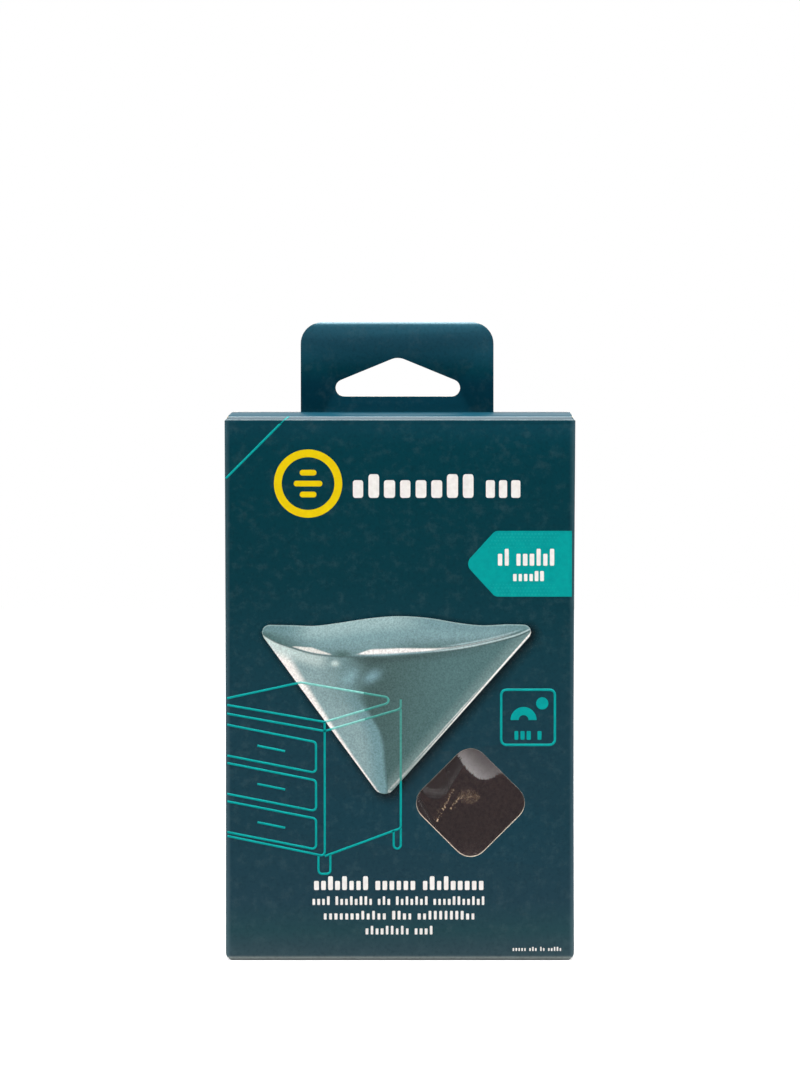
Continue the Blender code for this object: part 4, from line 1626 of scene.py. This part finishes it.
@dataclass
class FrontPrint:
    """Everything printed on the front panel, in plain shapes and strokes."""

    carton: Carton
    lid: Lid
    picture: GuardPicture
    stroke: float = 0.56
    line_foot: Point = (-43.8, 122.0)
    line_top_z: float = 135.9

    def wall(self) -> float:
        """Give the front panel's Y."""
        return -self.carton.depth / 2

    def slab(self, name: str, outlines: list[list[Point]], ink: Material, layer: int = 1) -> Object:
        """Print closed shapes as thin slabs.

        Args:
            name: The piece's name.
            outlines: Anticlockwise outlines in X and Z.
            ink: The ink.
            layer: How many ink layers lie under its face.

        Returns:
            The piece.
        """
        bm = bmesh.new()
        for outline in outlines:
            add_prism(bm, outline, facing_front(self.wall()), -INK_STEP, INK_STEP * layer)
        return settle(link_mesh(name, bm, [ink]))

    def strokes(self, name: str, paths: list[list[Point]], ink: Material, width: float,
                turn: float = 0.6, layer: int = 1, closed: bool = False) -> Object:
        """Print strokes along paths."""
        points: list[Point] = []
        edges: list[tuple[int, int]] = []
        for path in paths:
            first = len(points)
            points += path
            edges += [(first + i, first + i + 1) for i in range(len(path) - 1)]
            if closed:
                edges.append((len(points) - 1, first))
        obj = grow(name, points, edges, RIBBON, {
            "Width": width * MM, "Thickness": 2 * INK_STEP * MM, "Turn": turn * MM, "Step": 0.35 * MM,
            "Ink": ink})
        shift_mesh(obj, y=self.wall() - INK_STEP * (layer - 1))
        return settle(obj)

    def blocks(self, line: TextLine, ink: Material, layer: int = 1) -> None:
        """Print a line of blocks."""
        obj = line.build(BLOCKS, ink)
        shift_mesh(obj, y=self.wall() - INK_STEP * (layer - 1) + INK_STEP)
        settle(obj)

    def ring(self, centre: Point, outer: float, inner: float, steps: int) -> list[list[Point]]:
        """Give a ring as short closed segments that touch, each an outline of its own."""
        segments = []
        for k in range(4):
            start, end = 90.0 * k, 90.0 * (k + 1)
            segments.append(arc(centre, outer, start, end, steps // 4)
                            + list(reversed(arc(centre, inner, start, end, steps // 4))))
        return segments

    def mark(self) -> None:
        """Print the round yellow mark: a ring with three bars."""
        centre, outer = (-23.1, 120.7), 8.6
        shapes = self.ring(centre, outer, outer - 1.95, 64)
        for k, half in ((-1, 2.1), (0, 3.6), (1, 2.1)):
            z = centre[1] + 2.75 * k
            bar = [(centre[0] - half, z - 0.72, 0.7), (centre[0] + half, z - 0.72, 0.7),
                   (centre[0] + half, z + 0.72, 0.7), (centre[0] - half, z + 0.72, 0.7)]
            shapes.append(rounded_corners(bar))
        self.slab("yellow_mark", shapes, YELLOW)

    def headings(self) -> None:
        """Print plain blocks where the heading and the lines of type would be."""
        lines = (
            TextLine("heading_blocks_1", -12.5, 19.2, 117.1, 4.45, (8,), 2, 1.34, 0.26),
            TextLine("heading_blocks_2", 21.2, 30.8, 117.1, 4.45, (3,), 4, 1.34, 0.26),
            TextLine("type_line_1", -22.0, 21.4, 17.9, 2.3, (8, 6, 9), 3, 1.52),
            TextLine("type_line_2", -22.4, 21.6, 14.1, 1.55, (4, 8, 3, 7, 11), 5, gap=0.42),
            TextLine("type_line_3", -19.6, 19.1, 10.4, 1.55, (12, 4, 11), 8, gap=0.42),
            TextLine("type_line_4", -9.0, 8.5, 6.6, 1.55, (9, 4), 13, gap=0.42),
            TextLine("small_print", 28.3, 40.9, 2.4, 0.75, (5, 3, 2, 5), 21, gap=0.42),
            TextLine("tag_line_1", 24.4, 39.2, 100.0, 3.0, (2, 6), 34),
            TextLine("tag_line_2", 28.3, 36.5, 96.1, 1.8, (6,), 55),
        )
        for line in lines:
            layer = 2 if line.name.startswith("tag") else 1
            self.blocks(line, WHITE, layer)

    def tag(self) -> None:
        """Print the teal tag that points left, with its field of paler dots."""
        right = 43.35
        corners = [(16.4, 100.45, 2.3), (24.0, 92.17, 1.9), (right, 92.17, 0.0), (right, 108.78, 0.0),
                   (24.0, 108.78, 1.9)]
        self.slab("teal_tag", [rounded_corners(corners, 8)], TEAL)
        pitch, dots = 0.85, []
        for row in range(20):
            for column in range(32):
                x = 17.2 + pitch * (column + 0.5 * (row % 2))
                z = 92.7 + pitch * row
                room = (x - 17.4) * 1.16 - abs(z - 100.45)
                away = abs(z - 100.3) / 8.3
                fade = smoothstep(0.35, 1.0, away) * falling(34.0, 43.0, x)
                if room > 0.6 and away < 0.93 and fade > 0.15:
                    dots.append(rounded_polygon(0.10 + 0.16 * fade, 0.05, 8, 0, 1))
                    dots[-1] = [(px + x, pz + z) for px, pz in dots[-1]]
        self.slab("tag_dots", dots, DOT, 2)

    def pictogram(self) -> None:
        """Print the teal frame with a disc, an arch and blocks."""
        left, right, low, high = 25.55, 39.1, 54.7, 68.65
        frame_line = [(left, low), (right, low), (right, high), (left, high)]
        self.strokes("pictogram_frame", [frame_line], TEAL, 0.62, 1.3, closed=True)
        arch = arc((31.2, 61.0), 3.3, 0, 180, 16) + list(reversed(arc((31.2, 61.0), 1.25, 0, 180, 10)))
        disc = arc((35.9, 65.2), 1.55, 0, 345, 23)
        self.slab("pictogram_shapes", [arch, disc], TEAL)
        line = TextLine("pictogram_blocks", 28.6, 36.0, 56.0, 2.2, (3, 1), 89, 1.0)
        self.blocks(line, TEAL)

    def drawing(self) -> None:
        """Print a plain oblique line drawing of a chest, partly behind the picture."""
        left, post, right = -43.6, -19.0, 0.2
        paths: list[list[Point]] = [
            [(left, 66.5), (-25.0, 70.5), (right, 66.2), (post, 60.5), (left, 64.8)],
            [(left, 62.6), (post, 58.2), (right, 63.8), (right, 66.2)],
            [(post, 60.5), (post, 58.2)],
            [(post, 58.2), (post, 26.5), (left, 31.6)],
            [(right, 63.8), (right, 33.6), (post, 26.5)],
        ]
        for k in range(3):
            top, low = 55.4 - 9.7 * k, 47.6 - 9.7 * k
            paths.append([(left, top + 4.4), (-21.2, top), (-21.2, low), (left, low + 4.4)])
            paths.append([(-36.0, (top + low) / 2 + 3.0), (-29.0, (top + low) / 2 + 1.6)])
        paths += [[(-17.6, 26.9), (-17.6, 22.0), (-20.6, 22.0), (-20.6, 26.7)],
                  [(-1.6, 33.0), (-1.6, 28.4), (right, 28.4), (right, 33.6)]]
        obj = self.strokes("line_drawing", paths, TEAL, self.stroke, 0.9, 3)
        obj.data.materials.append(VEILED)
        obj.data.materials.append(DEEP_VEILED)
        for face in obj.data.polygons:
            x, z = face.center.x / MM, face.center.z / MM
            if self.picture.contains(x, z):
                face.material_index = 1 if x < -9.0 else 2

    def slant(self) -> None:
        """Print the slanting line that runs up to the crease and over it."""
        foot, top_z = self.line_foot, self.line_top_z
        top = (foot[0] + (top_z - foot[1]), top_z)
        self.strokes("slant_line", [[foot, top]], TEAL, self.stroke)
        self.lid.bridge(self.lid.crease_line(TEAL, top[0], top_z, self.stroke / 2))

    def build(self) -> None:
        """Print the panel."""
        self.picture.shadow(self.wall())
        self.picture.build(self.wall())
        self.mark()
        self.headings()
        self.tag()
        self.pictogram()
        self.drawing()
        self.slant()


@dataclass
class WindowContents:
    """What shows close behind the film: a pale sheet that is a painted reflection in the film, and pale
    flakes that are painted glints.
    """

    window: Window
    reflection_gap: float = 0.06
    reflection_thick: float = 0.08
    reflection_curl: float = 0.14
    glint_gap: float = 0.12

    def painted_reflection(self) -> Object:
        """Build a pale sheet in the window's top corner as a painted reflection in the film, its free edge
        frayed.
        """
        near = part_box("window_film")[1].y / MM + self.reflection_gap
        cx, cz = self.window.x, self.window.z
        edge = smooth_curve([(cx - 5.6, cz + 14.5), (cx - 3.6, cz + 11.4), (cx - 1.0, cz + 7.8),
                             (cx + 2.2, cz + 5.5), (cx + 5.2, cz + 5.5), (cx + 8.6, cz + 7.5),
                             (cx + 12.0, cz + 9.8)], 60)
        crown = Vector((cx + 2.2, cz + 16.5))
        bright, dim = tone_of("#B2B1B0"), tone_of("#6F6C6D")
        bm = bmesh.new()
        layer = bm.verts.layers.float_color.new("tone")
        steps = 12
        shells = []
        for lift in (0.0, self.reflection_thick):
            rows = []
            for i, point in enumerate(edge):
                fray = sum(size * abs(noise.noise(Vector((i * pace, place, 0.0))))
                           for size, pace, place in ((0.5, 0.05, 3.1), (1.2, 0.15, 8.7), (1.3, 0.33, 5.9)))
                start = Vector(point)
                inward = (crown - start).normalized()
                row = []
                for k in range(steps + 1):
                    t = (k / steps) ** 1.6
                    p = start + inward * fray * (1 - t) + (crown - start) * 0.9 * t
                    vert = bm.verts.new((p.x, near + lift + self.reflection_curl * math.sin(1.2 * t), p.y))
                    # Painted shade on the sheet: lighter along the frayed lower-left edge, darker towards
                    # the upper right
                    shade = smoothstep(-3.5, 6.5, (p.x - cx) + 0.75 * (p.y - cz - 8.0))
                    mix = min(1.0, 0.25 * smoothstep(0, 0.5, t) + 0.8 * shade)
                    vert[layer] = (*bright.lerp(dim, mix), 1.0)
                    row.append(vert)
                rows.append(row)
            shells.append(rows)
        close_slab(bm, *shells)
        return settle(link_mesh("painted_reflection_sheet", bm, [REFLECTION_SHEET], 40), Body.CARTON, Slot.PAD)

    def scatter(self, name: str, points: list[Point], size: float, seed: int) -> None:
        """Scatter flakes of one size at points just behind the film."""
        obj = grow(name, points, [], FLAKES, {"Size": size * MM, "Seed": seed, "Ink": GLINT})
        shift_mesh(obj, y=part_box("window_film")[1].y / MM + self.glint_gap)
        settle(obj, Body.CARTON, Slot.PAD)

    def glints(self) -> None:
        """Scatter the pale flakes of the painted glints."""
        paths = (("painted_glints_1", [(9.3, 35.2), (10.6, 37.6), (11.9, 40.2), (13.6, 43.4)], 27, 11, 0.27),
                 ("painted_glints_2", [(12.9, 38.2), (14.0, 40.0), (14.8, 41.0), (16.2, 41.4)], 17, 17, 0.25),
                 ("painted_glints_3", [(8.6, 35.6), (9.6, 37.6), (10.8, 39.6), (12.0, 41.6)], 30, 23, 0.09),
                 ("painted_glints_4", [(15.4, 40.4), (15.6, 42.0), (15.9, 43.6)], 16, 31, 0.08))
        for name, path, count, seed, size in paths:
            run = smooth_curve(path, 12)
            points = []
            for k in range(count):
                share = (k + 0.5) / count
                x, z = run[int(share * (len(run) - 1))]
                wobble = Vector((noise.noise(Vector((k * 0.71, seed, 0.0))),
                                 noise.noise(Vector((k * 0.83, seed, 5.0)))))
                points.append((x + 0.9 * wobble.x, z + 0.7 * wobble.y))
            self.scatter(name, points, size, seed)
        patch, count, radius, middle = [], 170, 2.9, (17.4, 41.4)
        for k in range(count):
            angle, reach = 2.4 * k, radius * ((k + 0.5) / count) ** 0.7
            patch.append((middle[0] + reach * math.cos(angle), middle[1] + 0.62 * reach * math.sin(angle)))
        self.scatter("painted_glint_speckle", patch, 0.11, 29)

    def build(self) -> None:
        """Build what shows behind the film."""
        self.painted_reflection()
        self.glints()


@dataclass
class Studio:
    """A plain pale floor, soft lamps and the camera at the photograph's angle."""

    camera_x: float = 14.5
    camera_y: float = -1620.0
    camera_z: float = 189.2
    pitch: float = 3.5
    lens: float = 214.58
    shift_x: float = -0.0538
    shift_y: float = 0.0623
    floor_front: float = -250.0
    floor_back: float = 1400.0
    floor_half: float = 2500.0
    ambient: float = 0.39
    front_mirror: float = 0.16
    floor_glow: float = 0.66
    aim: tuple[float, float, float] = (0.0, 0.0, 0.08)
    lamps: tuple[tuple[str, tuple[float, float, float], float, float], ...] = (
        ("key_lamp", (-1.25, -1.0, 1.05), 0.9, 8.4),
        ("fill_lamp", (1.35, -0.9, 0.7), 0.9, 6.4),
        ("overhead_lamp", (0.0, 0.02, 1.25), 1.0, 38.0))

    def camera(self) -> None:
        """Set the camera."""
        data = bpy.data.cameras.new("camera")
        data.sensor_width = 36.0
        data.lens = self.lens
        data.shift_x = self.shift_x
        data.shift_y = self.shift_y
        data.clip_start = 0.05
        data.clip_end = 50.0
        obj = bpy.data.objects.new("camera", data)
        obj.location = (self.camera_x * MM, self.camera_y * MM, self.camera_z * MM)
        obj.rotation_euler = (math.radians(90.0 - self.pitch), 0.0, 0.0)
        bpy.context.collection.objects.link(obj)
        bpy.context.scene.camera = obj

    def lamp(self, name: str, place: tuple[float, float, float], size: float, power: float) -> None:
        """Add a square soft lamp, placed in metres, that looks at the carton's middle."""
        data = bpy.data.lights.new(name, "AREA")
        data.size = size
        data.energy = power
        obj = bpy.data.objects.new(name, data)
        obj.location = place
        obj.rotation_euler = (Vector(self.aim) - Vector(place)).to_track_quat("-Z", "Y").to_euler()
        bpy.context.collection.objects.link(obj)

    def world(self) -> None:
        """Light the room evenly: white to the eye, dim in front for what mirrors it."""
        world = bpy.data.worlds.new("room")
        bpy.context.scene.world = world
        world.use_nodes = True
        tree = world.node_tree
        tree.nodes.clear()
        path = add_node(tree, "ShaderNodeLightPath")
        heading = add_node(tree, "ShaderNodeTexCoord").outputs["Generated"]
        depth = add_node(tree, "ShaderNodeSeparateXYZ", {"Vector": heading}).outputs["Y"]
        behind = add_node(tree, "ShaderNodeMapRange", {
            "Value": depth, "From Min": -0.25, "From Max": 0.1, "To Min": self.front_mirror, "To Max": 1.0},
            interpolation_type="SMOOTHSTEP")
        mirrored = add_node(tree, "ShaderNodeMix", {
            "Factor": path.outputs["Is Glossy Ray"], "A": self.ambient, "B": behind.outputs[0]})
        see_through = add_node(tree, "ShaderNodeMix", {
            "Factor": path.outputs["Is Transmission Ray"], "A": mirrored.outputs[0], "B": behind.outputs[0]})
        level = add_node(tree, "ShaderNodeMix", {
            "Factor": path.outputs["Is Camera Ray"], "A": see_through.outputs[0], "B": 1.0})
        light = add_node(tree, "ShaderNodeBackground", {
            "Color": linear("#FFFFFF"), "Strength": level.outputs[0]})
        add_node(tree, "ShaderNodeOutputWorld", {"Surface": light.outputs[0]})

    def floor(self) -> None:
        """Lay the pale floor, which stays white to the eye and keeps the shadow."""
        material = bpy.data.materials.new("pale floor")
        material.use_nodes = True
        tree = material.node_tree
        tree.nodes.clear()
        path = add_node(tree, "ShaderNodeLightPath")
        seen = add_node(tree, "ShaderNodeMath", {
            0: path.outputs["Is Camera Ray"], 1: path.outputs["Is Glossy Ray"]},
            operation="ADD", use_clamp=True)
        glow = add_node(tree, "ShaderNodeEmission", {
            "Color": linear("#FFFFFF"), "Strength": self.floor_glow})
        matt = add_node(tree, "ShaderNodeBsdfDiffuse", {"Color": linear("#B8B8B8")})
        both = add_node(tree, "ShaderNodeAddShader", {0: matt.outputs[0], 1: glow.outputs[0]})
        mixed = add_node(tree, "ShaderNodeMixShader", {
            "Fac": seen.outputs[0], 1: matt.outputs[0], 2: both.outputs[0]})
        add_node(tree, "ShaderNodeOutputMaterial", {"Surface": mixed.outputs[0]})
        bm = bmesh.new()
        half, near, far = self.floor_half, self.floor_front, self.floor_back
        corners = ((-half, near), (half, near), (half, far), (-half, far))
        bm.faces.new([bm.verts.new((x, y, -0.02)) for x, y in corners])
        link_mesh("floor", bm, [material])

    def build(self) -> None:
        """Set the studio up."""
        view = bpy.context.scene.view_settings
        view.view_transform = "Standard"
        self.world()
        self.floor()
        for lamp in self.lamps:
            self.lamp(*lamp)
        self.camera()


PRINT = PrintedBoard().build()
BARE = MottledSurface("bare back of the board", "#92746A", "#755B54", 0.8, 0.75, 0.2, 0.25).build()
RAW = MottledSurface("die-cut raw edge", "#EADFCE", "#C9B9A4", 0.35, 0.8, 0.2, 0.3).build()
FILM = ThinFilm().build()
VINYL = SoftVinyl().build()
PICTURE = ToneInk().build()
SHADOW = ShadeInk().build()
TEAL = MottledSurface("teal ink", "#009D9A", "#019291", 1.6, 0.42, 0.07, 0.04).build()
DOT = MottledSurface("pale teal ink", "#12A29F", "#0D9A98", 1.6, 0.42, 0.07, 0.04).build()
VEILED = MottledSurface("teal ink over the picture", "#8FCFC8", "#6FB9B0", 0.8, 0.42, 0.07, 0.04).build()
DEEP_VEILED = MottledSurface("teal ink over shade", "#4F9A90", "#438A82", 0.8, 0.42, 0.07, 0.04).build()
YELLOW = MottledSurface("yellow ink", "#E9CC08", "#E2C20A", 1.6, 0.42, 0.07, 0.04).build()
WHITE = MottledSurface("white ink", "#F3EFEB", "#E8E3DE", 1.2, 0.45, 0.1, 0.04).build()
# Painted highlight on the crease's two scores, and painted sheen on the facet between them
SCORE_HIGHLIGHT = MottledSurface("painted highlight on a score", "#8A9CA1", "#6C8087", 0.35, 0.5, 0.2, 0.15).build()
FACET_SHEEN = MottledSurface("painted sheen on the crease facet", "#2A4550", "#213B46", 0.5, 0.42, 0.2, 0.1).build()
LINER = MottledSurface("waxed amber liner", "#D2AE6A", "#B98F4C", 2.4, 0.32, 0.5, 0.15).build()
# A pale sheet that paints the film's reflection in the window's top corner
REFLECTION_SHEET = ToneInk("painted reflection sheet", grain=0.8, contrast=0.09, roughness=0.55).build()
# Pale flakes that stand in for glints: painted highlights
GLINT = MottledSurface("painted glint flakes", "#FFE3BC", "#B98350", 0.22, 0.3, 0.6, 0.4).build()
RIBBON = ribbon_tree()
BLOCKS = block_tree()
FLAKES = flake_tree()


def main() -> None:
    """Build every piece in order, then the studio, and note the sizes."""
    logging.basicConfig(level=logging.INFO, format="%(name)s %(message)s")
    stock = BoardStock()
    carton = Carton(stock)
    window = Window()
    lid = Lid(stock, carton)
    carton.build(window)
    lid.build()
    lid.bridge(lid.crease_strip())
    window.build()
    window.bare_edge_and_highlight(-carton.depth / 2)
    FrontPrint(carton, lid, GuardPicture()).build()
    WindowContents(window).build()
    guard = SoftGuard()
    for number in range(1, 5):
        guard.build(number, VINYL)
        for pad in range(1, 4):
            node = frame["nodes"][f"guard_{number}_pad_{pad}"]
            for slot in node.material_slots:
                slot.material = LINER
    Studio().build()


if __name__ == "__main__":
    main()
